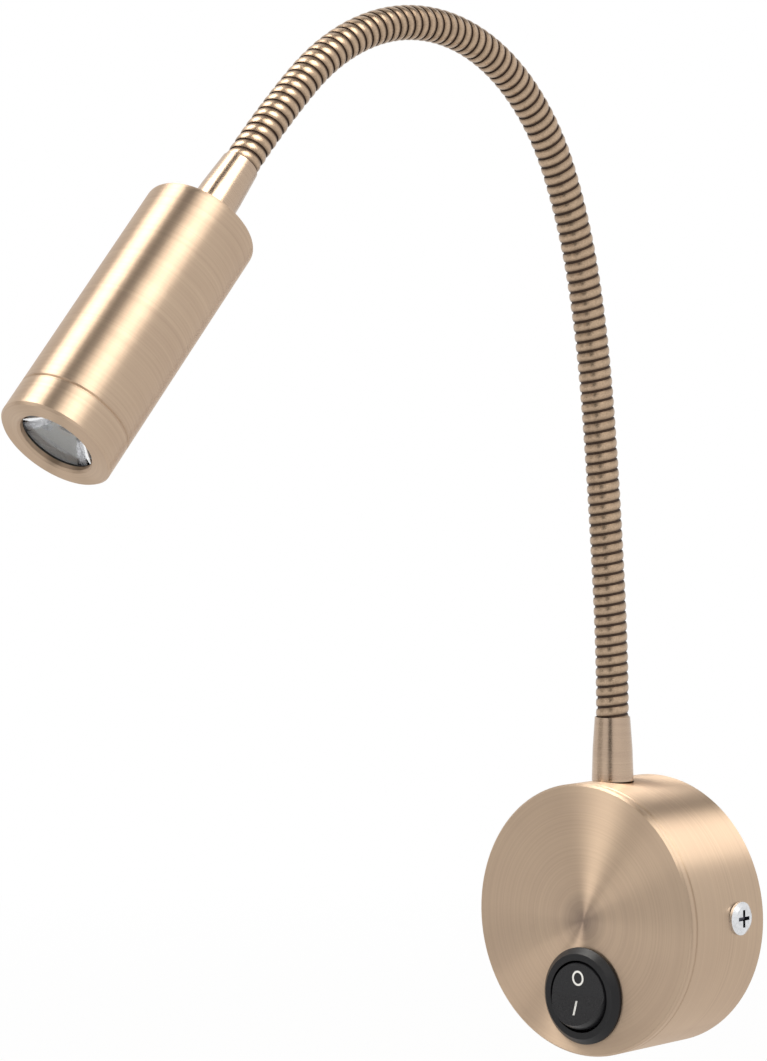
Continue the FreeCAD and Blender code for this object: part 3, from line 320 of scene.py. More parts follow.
def scaled_vector(tree, vector, factor):
    """A vector times a number."""
    node = add_node(tree, "ShaderNodeVectorMath", {0: vector, "Scale": factor}, operation="SCALE")
    return node.outputs["Vector"]


def vector_size(tree, vector):
    """Length of a vector."""
    return add_node(tree, "ShaderNodeVectorMath", {0: vector}, operation="LENGTH").outputs["Value"]


def mixed_shader(tree, factor, first, second):
    """Blend of two shaders, all of the second where the factor is 1."""
    values = {0: factor, 1: first.outputs[0], 2: second.outputs[0]}
    return add_node(tree, "ShaderNodeMixShader", values).outputs[0]


def darker(tint, portion):
    """A colour with only a portion of its brightness."""
    return tuple(portion * channel for channel in tint)


def blank_material(name):
    """A new material with its tree and its shader."""
    material = bpy.data.materials.new(name)
    material.use_nodes = True
    tree = material.node_tree
    return material, tree, tree.nodes["Principled BSDF"]


def mix_colours(tree, factor, low, high):
    """Colour between two, by a factor."""
    node = add_node(tree, "ShaderNodeMix", {0: factor}, data_type="RGBA")
    for socket, value in ((node.inputs[6], low), (node.inputs[7], high)):
        if isinstance(value, bpy.types.NodeSocket):
            tree.links.new(value, socket)
        else:
            socket.default_value = (*value, 1.0)
    return node.outputs[2]


def spread(tree, value, low, high, from_low=0.0, from_high=1.0):
    """A value moved from one range to another and held inside it."""
    values = {"Value": value, "From Min": from_low, "From Max": from_high, "To Min": low, "To Max": high}
    return add_node(tree, "ShaderNodeMapRange", values).outputs["Result"]


def noise(tree, coordinates, scale, detail=3.0, rough=0.5):
    """Smooth noise from 0 to 1."""
    values = {"Vector": coordinates, "Scale": scale, "Detail": detail, "Roughness": rough}
    return add_node(tree, "ShaderNodeTexNoise", values).outputs[0]


def bump(tree, shader, height, distance, strength):
    """Fine relief on a shader."""
    values = {"Height": height, "Distance": distance, "Strength": strength}
    tree.links.new(add_node(tree, "ShaderNodeBump", values).outputs[0], shader.inputs["Normal"])


def object_coordinates(tree):
    """Place of a surface point in the object's own frame."""
    return add_node(tree, "ShaderNodeTexCoord").outputs["Object"]


def mirrored_or_seen(tree):
    """1 for what the camera sees straight, in metal or through glass, and 0 for light on the lamp."""
    path = add_node(tree, "ShaderNodeLightPath").outputs
    bounced = math_node(tree, "MAXIMUM", path["Is Glossy Ray"], path["Is Transmission Ray"])
    return math_node(tree, "MAXIMUM", path["Is Camera Ray"], bounced)


# ---------------------------------------------------------------- materials

def turned_brass(name, centre, axis, roughness, stretch):
    """Antique brass brushed on a lathe.

    The brush lines run round the axis, and reflections draw out across them.
    """
    brass = bpy.context.scene.lamp_brass
    axis = tuple(axis)
    material, tree, shader = blank_material(name)
    offset = vector_node(tree, "SUBTRACT", object_coordinates(tree), tuple(centre))
    along = add_node(tree, "ShaderNodeVectorMath", {0: offset, 1: axis},
                     operation="DOT_PRODUCT").outputs["Value"]
    outward = vector_node(tree, "SUBTRACT", offset, scaled_vector(tree, axis, along))
    distance = vector_size(tree, outward)
    around = vector_node(tree, "NORMALIZE", vector_node(tree, "CROSS_PRODUCT", axis, outward))
    groove = add_node(tree, "ShaderNodeCombineXYZ", {"X": distance, "Y": along}).outputs[0]
    # Each line drifts a little on its way round, and the fine ones lie this much closer.
    drift = brass.grain / 6
    fineness = 8
    lines = vector_node(tree, "ADD", groove, scaled_vector(tree, around, drift))
    coarse = noise(tree, lines, 1 / brass.grain, detail=4.0, rough=0.62)
    fine = noise(tree, lines, fineness / brass.grain, detail=2.0)
    patina = noise(tree, object_coordinates(tree), PATINA_SCALE, detail=2.0)
    coarse_share, patina_share = 0.75, 0.35
    tone = math_node(tree, "ADD", math_node(tree, "MULTIPLY", coarse, coarse_share),
                     math_node(tree, "MULTIPLY", patina, patina_share))
    crests = spread(tree, tone, 0.0, 1.0, from_low=0.15, from_high=0.85)
    brushed = mix_colours(tree, crests, tuple(brass.shade), tuple(brass.light))
    dulled = spread(tree, distance, brass.dull_share, 0.0, from_low=0.0, from_high=brass.dull_radius)
    tree.links.new(mix_colours(tree, dulled, brushed, tuple(brass.dull)), shader.inputs["Base Color"])
    vary = 0.05
    blur = spread(tree, fine, roughness - vary, roughness + vary, from_low=0.3, from_high=0.7)
    tree.links.new(blur, shader.inputs["Roughness"])
    shader.inputs["Metallic"].default_value = 1.0
    shader.inputs["Anisotropic"].default_value = stretch
    turned = add_node(tree, "ShaderNodeVectorTransform", {0: around}, vector_type="VECTOR",
                      convert_from="OBJECT", convert_to="WORLD").outputs[0]
    normal = add_node(tree, "ShaderNodeNewGeometry").outputs["Normal"]
    tree.links.new(vector_node(tree, "CROSS_PRODUCT", turned, normal), shader.inputs["Tangent"])
    bump(tree, shader, coarse, BRUSH_RELIEF, strength=0.4)
    return material


def wound_brass(name):
    """Brass bands with brown tarnish in the grooves between them."""
    hose = bpy.context.scene.lamp_hose
    material, tree, shader = blank_material(name)
    depth = add_node(tree, "ShaderNodeAttribute", attribute_name="groove_depth").outputs["Fac"]
    place = object_coordinates(tree)
    wear = noise(tree, place, WEAR_SCALE)
    grain = noise(tree, place, BAND_SCALE, detail=2.0)
    middling, ragged = 0.5, 0.3
    uneven = math_node(tree, "MULTIPLY", math_node(tree, "SUBTRACT", wear, middling), ragged)
    edge = math_node(tree, "ADD", depth, uneven)
    crests = spread(tree, grain, 0.0, 1.0, from_low=0.3, from_high=0.75)
    worn = mix_colours(tree, crests, darker(hose.light, 0.72), tuple(hose.light))
    tarnish = spread(tree, edge, 0.0, 1.0, from_low=0.02, from_high=0.68)
    tree.links.new(mix_colours(tree, tarnish, worn, tuple(hose.dark)), shader.inputs["Base Color"])
    blur = spread(tree, edge, 0.34, 0.65, from_low=0.2, from_high=0.9)
    tree.links.new(blur, shader.inputs["Roughness"])
    metal = spread(tree, edge, 1.0, 0.5, from_low=0.5, from_high=0.9)
    tree.links.new(metal, shader.inputs["Metallic"])
    bump(tree, shader, grain, BAND_RELIEF, strength=0.3)
    return material


def moulded_plastic(name, tint, roughness, gloss=0.5):
    """Moulded plastic with a fine spark-eroded grain."""
    material, tree, shader = blank_material(name)
    place = object_coordinates(tree)
    grain = noise(tree, place, SPARK_SCALE)
    cloud = noise(tree, place, CLOUD_SCALE, detail=2.0)
    clouded = mix_colours(tree, cloud, darker(tint, 0.82), tuple(tint))
    tree.links.new(clouded, shader.inputs["Base Color"])
    smoother, rougher = roughness - 0.05, roughness + 0.08
    blur = spread(tree, grain, smoother, rougher, from_low=0.3, from_high=0.7)
    tree.links.new(blur, shader.inputs["Roughness"])
    shader.inputs["Specular IOR Level"].default_value = gloss
    bump(tree, shader, grain, SPARK_RELIEF, strength=0.6)
    return material


def plain_metal(name, tint, roughness):
    """Plated or drawn metal with light handling marks."""
    material, tree, shader = blank_material(name)
    marks = noise(tree, object_coordinates(tree), HANDLING_SCALE, detail=4.0, rough=0.6)
    clean = spread(tree, marks, 0.0, 1.0, from_low=0.35, from_high=0.65)
    handled = mix_colours(tree, clean, darker(tint, 0.8), tuple(tint))
    tree.links.new(handled, shader.inputs["Base Color"])
    rougher, smoother = roughness + 0.07, roughness - 0.05
    blur = spread(tree, marks, rougher, smoother, from_low=0.35, from_high=0.65)
    tree.links.new(blur, shader.inputs["Roughness"])
    shader.inputs["Metallic"].default_value = 1.0
    bump(tree, shader, marks, HANDLING_RELIEF, strength=0.3)
    return material


def screw_metal(name, node):
    """Plated metal with painted shade: darker inside the cross recess of a screw's head."""
    screws = bpy.context.scene.lamp_screws
    material = plain_metal(name, screws.zinc, screws.roughness)
    tree = material.node_tree
    colour_socket = tree.nodes["Principled BSDF"].inputs["Base Color"]
    plated = colour_socket.links[0].from_socket
    place = vector_node(tree, "SUBTRACT", object_coordinates(tree), tuple(middle(node)))
    sideways = vector_size(tree, vector_node(tree, "MULTIPLY", place, (0.0, 1.0, 1.0)))
    outward = vector_size(tree, vector_node(tree, "MULTIPLY", place, (1.0, 0.0, 0.0)))
    head_top = frame["nodes"][node].dimensions.x / 2
    # Painted shade: points inside the cross recess, below the head's top, take the dark colour.
    under = math_node(tree, "LESS_THAN", outward, head_top - screws.skin)
    inside = math_node(tree, "LESS_THAN", sideways, screws.recess_radius)
    recess_shade_mask = math_node(tree, "MULTIPLY", under, inside)
    tree.links.new(mix_colours(tree, recess_shade_mask, plated, tuple(screws.dirt)), colour_socket)
    return material


def clear_plastic(name, tint, roughness, index):
    """Clear moulded plastic that lets the light through to what lies behind it."""
    material, tree, shader = blank_material(name)
    haze = noise(tree, object_coordinates(tree), HAZE_SCALE, detail=2.0)
    hazy = mix_colours(tree, haze, darker(tint, 0.97), tuple(tint))
    tree.links.new(hazy, shader.inputs["Base Color"])
    rougher = roughness + 0.03
    tree.links.new(spread(tree, haze, roughness, rougher), shader.inputs["Roughness"])
    shader.inputs["Transmission Weight"].default_value = 1.0
    shader.inputs["IOR"].default_value = index
    path = add_node(tree, "ShaderNodeLightPath").outputs
    lets_light_in = math_node(tree, "MAXIMUM", path["Is Shadow Ray"], path["Is Diffuse Ray"])
    open_air = add_node(tree, "ShaderNodeBsdfTransparent")
    tree.links.new(mixed_shader(tree, lets_light_in, shader, open_air),
                   tree.nodes["Material Output"].inputs["Surface"])
    return material


def dress(material, *nodes):
    """Give CAD nodes a material through their slots."""
    for name in nodes:
        mesh = frame["nodes"][name].data
        for number in range(len(mesh.materials)):
            mesh.materials[number] = material


def middle(node):
    """Centre of a CAD node's box."""
    low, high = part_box(node)
    return (low + high) / 2


# ---------------------------------------------------------------- the hose's line

def hinge_chain():
    """The hose's hinges in the frame, from the canopy to the head."""
    chain = [joint for joint in frame["joints"] if joint["name"].startswith(("sway_", "bend_"))]
    return sorted(chain, key=lambda joint: joint["name"].rsplit("_", 1)[1])


def heading(angle):
    """Direction of the hose when it leans out from upright by an angle."""
    return Vector((0.0, -math.sin(angle), math.cos(angle)))


def hinge_headings(places):
    """Lean of the hose at each hinge. A chord's lean is the mean of the leans at its two ends."""
    leans = [0.0]
    for low, high in zip(places, places[1:]):
        chord = high - low
        leans.append(2 * math.atan2(-chord.y, chord.z) - leans[-1])
    return leans


class HoseLine:
    """Centreline of the hose from inside one ferrule to inside the other.

    marks holds the length along the line at each hinge.
    """

    arc_steps = 24

    def __init__(self):
        hose = bpy.context.scene.lamp_hose
        self.joints = hinge_chain()
        self.places = [Vector(joint["pos_m"]) for joint in self.joints]
        self.leans = hinge_headings(self.places)
        run_in = self.places[0].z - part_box("base_ferrule")[1].z + hose.insert
        first = self.places[0] - run_in * heading(self.leans[0])
        self.points = [first, self.places[0].copy()]
        self.marks = [run_in]
        for number, (low, high) in enumerate(zip(self.places, self.places[1:])):
            self.add_arc(low, high, self.leans[number], self.leans[number + 1])
        self.points.append(self.places[-1] + run_in * heading(self.leans[-1]))
        self.length = self.marks[-1] + run_in

    def add_arc(self, low, high, start, end):
        """One stretch of even bend between two hinges."""
        half = (end - start) / 2
        chord = (high - low).length
        run = chord if abs(half) < STRAIGHT_BEND else chord * half / math.sin(half)
        point = low.copy()
        for step in range(self.arc_steps):
            lean = start + (end - start) * (step + 0.5) / self.arc_steps
            point = point + heading(lean) * run / self.arc_steps
            self.points.append(point.copy())
        self.points[-1] = high.copy()
        self.marks.append(self.marks[-1] + run)

    def middles(self):
        """Length along the line at the middle of each stretch."""
        return [(low + high) / 2 for low, high in zip(self.marks, self.marks[1:])]


def curve_object(name, points):
    """A polyline as a curve object."""
    curve = bpy.data.curves.new(name, "CURVE")
    curve.dimensions = "3D"
    spline = curve.splines.new("POLY")
    spline.points.add(len(points) - 1)
    for spot, point in zip(spline.points, points):
        spot.co = (*point, 1.0)
    thing = bpy.data.objects.new(name, curve)
    bpy.context.scene.collection.objects.link(thing)
    return thing


def section_object(name, hose):
    """Outline of one band: along the hose in X and out from its middle in Y."""
    half_pitch, half_band = hose.pitch / 2, hose.band / 2
    inner, floor = hose.radius - hose.wall, hose.radius - hose.groove
    crown = []
    for portion in (-1.0, -0.5, 0.0, 0.5, 1.0):
        crown.append((portion * half_band, hose.radius - hose.crown * portion ** 2))
    outline = [(-half_pitch, inner), (-half_pitch, floor), (-half_band, floor)]
    outline += crown
    outline += [(half_band, floor), (half_pitch, floor), (half_pitch, inner)]
    mesh = bpy.data.meshes.new(name)
    mesh.from_pydata([(along, out, 0.0) for along, out in outline + outline[:1]], [], [])
    thing = bpy.data.objects.new(name, mesh)
    bpy.context.scene.collection.objects.link(thing)
    return thing, len(outline) + 1


# ---------------------------------------------------------------- winding tree

def winding_tree(material):
    """Geometry nodes that wind a band section along a line as a right-handed helix."""
    tree = bpy.data.node_groups.new("Wound band", "GeometryNodeTree")
    tree.is_modifier = True
    sockets = {"Line": "Object", "Section": "Object", "Section points": "Int", "Pitch": "Float",
               "First turn": "Int", "Turns": "Int", "Turn points": "Int", "Radius": "Float",
               "Groove": "Float"}
    for label, kind in sockets.items():
        tree.interface.new_socket(label, in_out="INPUT", socket_type=f"NodeSocket{kind}")
    tree.interface.new_socket("Winding", in_out="OUTPUT", socket_type="NodeSocketGeometry")
    given = tree.nodes.new("NodeGroupInput").outputs
    result = tree.nodes.new("NodeGroupOutput")
    line = add_node(tree, "GeometryNodeObjectInfo", {"Object": given["Line"]}).outputs["Geometry"]
    section = add_node(tree, "GeometryNodeObjectInfo", {"Object": given["Section"]}).outputs["Geometry"]
    steps = math_node(tree, "MULTIPLY", given["Turns"], given["Turn points"])
    columns = math_node(tree, "SUBTRACT", given["Section points"], 1.0)
    sheet = add_node(tree, "GeometryNodeMeshGrid", {
        "Size X": steps, "Size Y": columns, "Vertices X": math_node(tree, "ADD", steps, 1.0),
        "Vertices Y": given["Section points"]}).outputs["Mesh"]
    place = add_node(tree, "GeometryNodeInputPosition").outputs[0]
    spot = add_node(tree, "ShaderNodeSeparateXYZ", {0: place}).outputs
    step = math_node(tree, "ADD", spot["X"], math_node(tree, "DIVIDE", steps, 2.0))
    column = math_node(tree, "ADD", spot["Y"], math_node(tree, "DIVIDE", columns, 2.0))
    turn = math_node(tree, "ADD", math_node(tree, "DIVIDE", step, given["Turn points"]),
                     given["First turn"])
    outline = add_node(tree, "GeometryNodeSampleIndex", {
        "Geometry": section, "Value": place, "Index": math_node(tree, "ROUND", column)},
        data_type="FLOAT_VECTOR")
    outline = add_node(tree, "ShaderNodeSeparateXYZ", {0: outline.outputs[0]}).outputs
    run = math_node(tree, "ADD", math_node(tree, "MULTIPLY", turn, given["Pitch"]), outline["X"])
    sample = add_node(tree, "GeometryNodeSampleCurve", {"Curves": line, "Length": run}, mode="LENGTH",
                      use_all_curves=True)
    angle = math_node(tree, "MULTIPLY", turn, math.tau)
    side = tuple(HOSE_SIDE)
    forward = vector_node(tree, "CROSS_PRODUCT", sample.outputs["Tangent"], side)
    sideways = scaled_vector(tree, side, math_node(tree, "COSINE", angle))
    onward = scaled_vector(tree, forward, math_node(tree, "SINE", angle))
    spoke = scaled_vector(tree, vector_node(tree, "ADD", sideways, onward), outline["Y"])
    sunk = math_node(tree, "SUBTRACT", given["Radius"], outline["Y"])
    depth = math_node(tree, "DIVIDE", sunk, given["Groove"])
    stored = add_node(tree, "GeometryNodeStoreNamedAttribute", {
        "Geometry": sheet, "Name": "groove_depth", "Value": depth}, data_type="FLOAT", domain="POINT")
    wound = add_node(tree, "GeometryNodeSetPosition", {
        "Geometry": stored.outputs["Geometry"],
        "Position": vector_node(tree, "ADD", sample.outputs["Position"], spoke)})
    merged = add_node(tree, "GeometryNodeMergeByDistance", {
        "Geometry": wound.outputs["Geometry"], "Distance": WELD_GAP})
    single = add_node(tree, "GeometryNodeRealizeInstances", {"Geometry": merged.outputs["Geometry"]})
    finished = add_node(tree, "GeometryNodeSetMaterial", {
        "Geometry": single.outputs["Geometry"], "Material": material})
    tree.links.new(finished.outputs["Geometry"], result.inputs["Winding"])
    return tree


def plain_mesh(thing, material):
    """Turn an object's modifiers into its own mesh, closed and facing outwards."""
    graph = bpy.context.evaluated_depsgraph_get()
    mesh = bpy.data.meshes.new_from_object(thing.evaluated_get(graph), depsgraph=graph)
    thing.modifiers.clear()
    thing.data = mesh
    mesh.name = thing.name
    close_mesh(mesh)
    mesh.materials.clear()
    mesh.materials.append(material)
    return thing


def close_mesh(mesh):
    """Fill a mesh's open ends, turn its faces outwards and shade it smooth with crisp edges."""
    shell = bmesh.new()
    shell.from_mesh(mesh)
    bmesh.ops.dissolve_degenerate(shell, dist=TINY_EDGE, edges=shell.edges)
    rims = [edge for edge in shell.edges if edge.is_boundary]
    if rims:
        bmesh.ops.holes_fill(shell, edges=rims)
    bmesh.ops.recalc_face_normals(shell, faces=shell.faces)
    shell.to_mesh(mesh)
    shell.free()
    mesh.shade_smooth()
    mesh.set_sharp_from_angle(angle=SPLIT_ANGLE)


def set_input(modifier, label, value):
    """Set a node modifier's input by its label."""
    for item in modifier.node_group.interface.items_tree:
        if item.item_type == "SOCKET" and item.in_out == "INPUT" and item.name == label:
            modifier[item.identifier] = value
            return
    raise RuntimeError(f"the winding has no input named {label}")


def wind(name, tree, material, values):
    """One length of the winding as a plain mesh."""
    thing = bpy.data.objects.new(name, bpy.data.meshes.new(name))
    modifier = thing.modifiers.new("Winding", "NODES")
    modifier.node_group = tree
    for label, value in values.items():
        set_input(modifier, label, value)
    bpy.context.scene.collection.objects.link(thing)
    return plain_mesh(thing, material)


# ---------------------------------------------------------------- printed marks

def print_mark(name, rings, material, surface, ink):
    """A flat mark laid on a curved surface, as a thin closed skin.

    rings holds the mark's outer and inner outlines as points across (X) and up (Z).
    """
    layers = []
    shell = bmesh.new()
    for lift in (ink, -ink):
        layer = []
        for outline in rings:
            spots = []
            for across, up in outline:
                hit = surface.ray_cast(Vector((across, MARK_RAY_START, up)), CANOPY_AXIS)[0]
                if hit is None:
                    raise RuntimeError(f"{name} misses the rocker at {across}, {up}")
                spots.append(shell.verts.new((hit.x, hit.y - lift, hit.z)))
            layer.append(spots)
        layers.append(layer)
    # The front, the back, the outer edge and the inner edge.
    (front_outer, front_inner), (back_outer, back_inner) = layers
    strips = ((front_outer, front_inner), (back_inner, back_outer), (back_outer, front_outer),
              (front_inner, back_inner))
    count = len(front_outer)
    for number in range(count):
        after = (number + 1) % count
        for one, two in strips:
            shell.faces.new((one[number], one[after], two[after], two[number]))
    mesh = bpy.data.meshes.new(name)
    shell.to_mesh(mesh)
    shell.free()
    thing = bpy.data.objects.new(name, mesh)
    bpy.context.scene.collection.objects.link(thing)
    close_mesh(mesh)
    mesh.materials.append(material)
    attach(thing, "rocker")


def oval(across, up, drop, points=48):
    """Points of an upright oval centred below the canopy's centre."""
    spots = []
    for number in range(points):
        angle = math.tau * number / points
        spots.append((across / 2 * math.cos(angle), up / 2 * math.sin(angle) - drop))
    return spots


def bar(across, up, drop, rows=8):
    """Points of an upright bar, down one side and up the other."""
    heights = [up * (number / rows - 0.5) - drop for number in range(rows + 1)]
    right = [(across / 2, height) for height in heights]
    left = [(-across / 2, height) for height in reversed(heights)]
    return right + left


# ---------------------------------------------------------------- operators

class LAMP_OT_turned_brass(bpy.types.Operator):
    """Brush the canopy, its front, both ferrules, the head and its bezel"""
    bl_idname = "lamp.turned_brass"
    bl_label = "Turned brass parts"

    def execute(self, context):
        places = [Vector(joint["pos_m"]) for joint in hinge_chain()]
        canopy = (middle("canopy_ring"), CANOPY_AXIS)
        foot = (middle("base_ferrule"), heading(0.0))
        head = (places[-1], heading(hinge_headings(places)[-1]))
        brass = context.scene.lamp_brass
        brushed = (brass.roughness, brass.stretch)
        polished = (brass.polish, brass.stretch / 2)
        dress(turned_brass("brass_canopy", *canopy, *brushed), "canopy_ring", "front_plate")
        dress(turned_brass("brass_head", *head, *brushed), "head_barrel", "bezel_ring")
        dress(turned_brass("brass_base_ferrule", *foot, *polished), "base_ferrule")
        dress(turned_brass("brass_head_ferrule", *head, *polished), "head_ferrule")
        return {"FINISHED"}


class LAMP_OT_hose(bpy.types.Operator):
    """Wind the hose from the canopy to the head, one length over each hinge"""
    bl_idname = "lamp.hose"
    bl_label = "Wound hose"

    def execute(self, context):
        hose = context.scene.lamp_hose
        line = HoseLine()
        material = wound_brass("brass_hose")
        path = curve_object("hose_line", line.points)
        section, section_points = section_object("hose_section", hose)
        tree = winding_tree(material)
        middle_turns = [round(mark / hose.pitch) for mark in line.middles()]
        cuts = [0, *middle_turns, int(line.length / hose.pitch)]
        for number, joint in enumerate(line.joints):
            values = {"Line": path, "Section": section, "Section points": section_points,
                      "Pitch": hose.pitch, "First turn": cuts[number],
                      "Turns": cuts[number + 1] - cuts[number], "Turn points": hose.turn_points,
                      "Radius": hose.radius, "Groove": hose.groove}
            winding = wind(f"hose_winding_{number:02d}", tree, material, values)
            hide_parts(*self.stands_for(number, len(line.joints) - 1))
            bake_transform(winding)
        for scaffold in (path, section):
            bpy.data.objects.remove(scaffold)
        return {"FINISHED"}

    @staticmethod
    def stands_for(number, last):
        """CAD nodes that one length of winding is shown in place of."""
        if number == 0:
            return ["hose_root"]
        if number == last:
            return [f"hose_stretch_{number:02d}", "hose_tip"]
        return [f"hose_stretch_{number:02d}"]


class LAMP_OT_switch(bpy.types.Operator):
    """Mould the switch and print its off and on marks"""
    bl_idname = "lamp.switch"
    bl_label = "Switch and marks"

    def execute(self, context):
        switch = context.scene.lamp_switch
        black = moulded_plastic("black_bezel", switch.bezel, switch.bezel_roughness, switch.bezel_gloss)
        dress(black, "switch_housing", "rocker_plunger")
        glossy = moulded_plastic("black_rocker", switch.rocker, switch.rocker_roughness,
                                 switch.rocker_gloss)
        dress(glossy, "rocker")
        marks = context.scene.lamp_marks
        ink = moulded_plastic("white_ink", marks.paint, marks.matt)
        graph = context.evaluated_depsgraph_get()
        surface = BVHTree.FromObject(frame["nodes"]["rocker"], graph)
        double = 2 * marks.stroke
        ring = [oval(marks.ring_width, marks.ring_height, marks.ring_drop),
                oval(marks.ring_width - double, marks.ring_height - double, marks.ring_drop)]
        print_mark("mark_off", ring, ink, surface, marks.ink)
        # The bar is a closed loop as the ring is, round a hair-thin slit.
        slit = marks.stroke / 4
        line = [bar(marks.stroke, marks.bar_height, marks.bar_drop),
                bar(slit, marks.bar_height, marks.bar_drop)]
        print_mark("mark_on", line, ink, surface, marks.ink)
        return {"FINISHED"}


class LAMP_OT_lens(bpy.types.Operator):
    """Finish the lens, its holder, seal, light source and board"""
    bl_idname = "lamp.lens"
    bl_label = "Lens and light source"

    def execute(self, context):
        lens = context.scene.lamp_lens
        dress(clear_plastic("clear_lens", lens.clear, lens.clear_roughness, lens.index), "lens")
        dress(plain_metal("silvered_holder", lens.silver, lens.silver_roughness), "lens_holder")
        dress(moulded_plastic("seal_rubber", lens.seal, lens.seal_roughness), "lens_seal")
        dress(moulded_plastic("white_board", lens.board, lens.board_roughness), "led_board")
        dress(moulded_plastic("phosphor", lens.phosphor, lens.phosphor_roughness), "led_emitter")
        return {"FINISHED"}


class LAMP_OT_hardware(bpy.types.Operator):
    """Finish the screws, wall plate, leads and the parts inside the canopy and head"""
    bl_idname = "lamp.hardware"
    bl_label = "Hardware and inside parts"

    def execute(self, context):
        screws = context.scene.lamp_screws
        dress(screw_metal("zinc_screw", "side_screws"), "side_screws")
        dress(plain_metal("zinc", screws.zinc, screws.roughness), "wall_plate", "board_screws",
              "base_nut", "base_washer", "head_nut", "terminal_screws")
        for name, tint, roughness, nodes in INSIDE_METALS:
            dress(plain_metal(name, tint, roughness), *nodes)
        for name, tint, roughness, nodes in INSIDE_PLASTICS:
            dress(moulded_plastic(name, tint, roughness), *nodes)
        return {"FINISHED"}


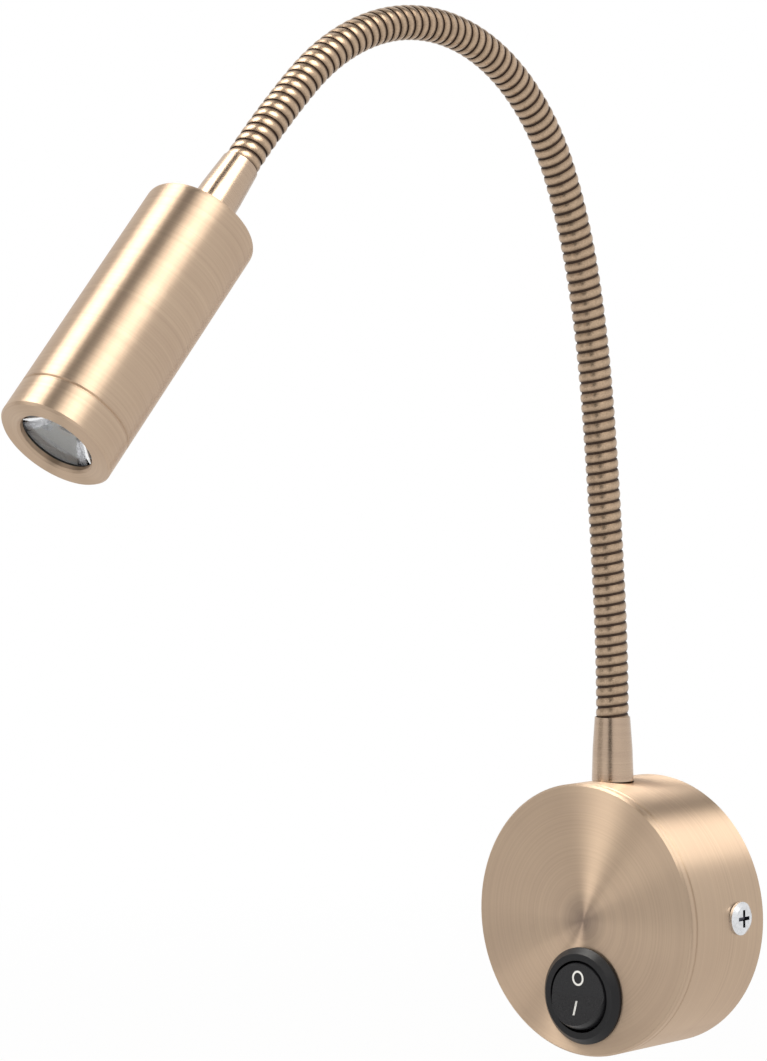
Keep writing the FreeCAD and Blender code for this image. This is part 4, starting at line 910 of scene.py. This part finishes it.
class LAMP_OT_stage(bpy.types.Operator):
    """Set the camera, the pale floor and the soft lights"""
    bl_idname = "lamp.stage"
    bl_label = "Camera, floor and lights"

    def execute(self, context):
        stage = context.scene.lamp_stage
        self.set_camera(context, stage)
        self.lay_floor(stage)
        self.light_world(context, stage)
        self.hang_light("key_light", KEY_DIRECTION, KEY_DISTANCE, KEY_SIDES, stage.key)
        top_sides = (TOP_CARD_LENGTH, stage.top_card)
        front_sides = (stage.front_card, FRONT_CARD_HEIGHT)
        left_sides = (stage.left_card, LEFT_CARD_HEIGHT)
        self.hang_card("top_card", TOP_CARD_DIRECTION, CARD_DISTANCE, top_sides, BLACK)
        self.hang_card("front_card", FRONT_CARD_DIRECTION, CARD_DISTANCE, front_sides, BLACK)
        self.hang_card("left_card", LEFT_CARD_DIRECTION, LEFT_CARD_DISTANCE, left_sides, MID_GREY)
        self.hang_light("top_light", TOP_DIRECTION, TOP_DISTANCE, TOP_SIDES, stage.top)
        context.scene.view_settings.view_transform = "Standard"
        return {"FINISHED"}

    @staticmethod
    def set_camera(context, stage):
        """The camera stands in front of the wall, to the lamp's right and about level with it."""
        data = bpy.data.cameras.new("camera")
        data.sensor_width = SENSOR_SIZE
        data.lens = stage.lens
        data.clip_start = NEAR_CLIP
        camera = bpy.data.objects.new("camera", data)
        forward = CAMERA_FORWARD.normalized()
        right = forward.cross(CAMERA_UPWARD).normalized()
        upward = right.cross(forward)
        turn = Matrix((right, upward, -forward)).transposed().to_4x4()
        camera.matrix_world = Matrix.Translation(CAMERA_PLACE) @ turn
        context.scene.collection.objects.link(camera)
        context.scene.camera = camera

    @staticmethod
    def lay_floor(stage):
        """A wide pale floor below the lamp that fades to white with distance."""
        height = cad_box[0].z - stage.floor_drop
        mesh = bpy.data.meshes.new("floor")
        corners = []
        for across, away in ((-1, -1), (1, -1), (1, 1), (-1, 1)):
            corners.append((across * FLOOR_REACH, away * FLOOR_REACH, height))
        mesh.from_pydata(corners, [], [(0, 1, 2, 3)])
        floor = bpy.data.objects.new("floor", mesh)
        bpy.context.scene.collection.objects.link(floor)
        material, tree, shader = blank_material("floor_paper")
        shader.inputs["Base Color"].default_value = (*stage.floor_colour, 1.0)
        shader.inputs["Roughness"].default_value = FLOOR_ROUGHNESS
        glow = add_node(tree, "ShaderNodeEmission", {"Color": PURE_WHITE, "Strength": 1.0})
        white_share = spread(tree, vector_size(tree, object_coordinates(tree)), NEAR_WHITE, 1.0,
                             from_low=stage.fade_start, from_high=stage.fade_end)
        factor = math_node(tree, "MULTIPLY", mirrored_or_seen(tree), white_share)
        tree.links.new(mixed_shader(tree, factor, shader, glow),
                       tree.nodes["Material Output"].inputs["Surface"])
        mesh.materials.append(material)

    @staticmethod
    def hang_card(name, direction, distance, sides, grey):
        """A black or grey card that faces the lamp and shows only mirrored in its metal."""
        away = direction.normalized()
        turn = away.to_track_quat("Z", "Y").to_matrix()
        corners = []
        for across, up in ((-0.5, -0.5), (0.5, -0.5), (0.5, 0.5), (-0.5, 0.5)):
            corner = turn @ Vector((across * sides[0], up * sides[1], 0.0))
            corners.append(AIM + distance * away - corner)
        mesh = bpy.data.meshes.new(name)
        mesh.from_pydata(corners, [], [(0, 1, 2, 3)])
        card = bpy.data.objects.new(name, mesh)
        bpy.context.scene.collection.objects.link(card)
        material, _, shader = blank_material(f"{name}_paper")
        shader.inputs["Base Color"].default_value = (grey, grey, grey, 1.0)
        shader.inputs["Roughness"].default_value = 1.0
        mesh.materials.append(material)
        card.visible_camera = card.visible_diffuse = card.visible_shadow = False

    @staticmethod
    def light_world(context, stage):
        """Even light from the room, white where the camera sees it or metal mirrors it."""
        world = bpy.data.worlds.new("studio")
        world.use_nodes = True
        tree = world.node_tree
        background = tree.nodes["Background"]
        background.inputs["Color"].default_value = ROOM_TINT
        background.inputs["Strength"].default_value = stage.world
        white = add_node(tree, "ShaderNodeBackground", {"Color": PURE_WHITE, "Strength": 1.0})
        tree.links.new(mixed_shader(tree, mirrored_or_seen(tree), background, white),
                       tree.nodes["World Output"].inputs["Surface"])
        context.scene.world = world

    @staticmethod
    def hang_light(name, direction, distance, sides, power):
        """A soft rectangular light that faces the lamp."""
        data = bpy.data.lights.new(name, "AREA")
        data.shape = "RECTANGLE"
        data.size, data.size_y = sides
        data.energy = power
        data.color = WARM_WHITE
        light = bpy.data.objects.new(name, data)
        away = direction.normalized()
        turn = away.to_track_quat("Z", "Y").to_matrix().to_4x4()
        light.matrix_world = Matrix.Translation(AIM + distance * away) @ turn
        bpy.context.scene.collection.objects.link(light)


OPERATORS = (
    LAMP_OT_turned_brass,
    LAMP_OT_hose,
    LAMP_OT_switch,
    LAMP_OT_lens,
    LAMP_OT_hardware,
    LAMP_OT_stage,
)


class LAMP_PT_finishes(bpy.types.Panel):
    """Steps that finish the reading lamp"""
    bl_idname = "LAMP_PT_finishes"
    bl_label = "Reading lamp"
    bl_space_type = "VIEW_3D"
    bl_region_type = "UI"
    bl_category = "Reading lamp"

    def draw(self, context):
        for operator in OPERATORS:
            self.layout.operator(operator.bl_idname)
        for name, group in SETTINGS.items():
            box = self.layout.box()
            box.label(text=group.__doc__)
            for setting in group.__annotations__:
                box.prop(getattr(context.scene, name), setting)


CLASSES = (*SETTINGS.values(), *OPERATORS, LAMP_PT_finishes)


def register():
    """Add the classes and the scene's settings."""
    for cls in CLASSES:
        bpy.utils.register_class(cls)
    for name, group in SETTINGS.items():
        setattr(bpy.types.Scene, name, PointerProperty(type=group))


def unregister():
    """Take the settings and the classes away again."""
    for name in SETTINGS:
        delattr(bpy.types.Scene, name)
    for cls in reversed(CLASSES):
        bpy.utils.unregister_class(cls)


def main():
    """Finish the lamp piece by piece."""
    register()
    bpy.ops.lamp.turned_brass()
    bpy.ops.lamp.hose()
    bpy.ops.lamp.switch()
    bpy.ops.lamp.lens()
    bpy.ops.lamp.hardware()
    bpy.ops.lamp.stage()


if __name__ == "__main__":
    main()
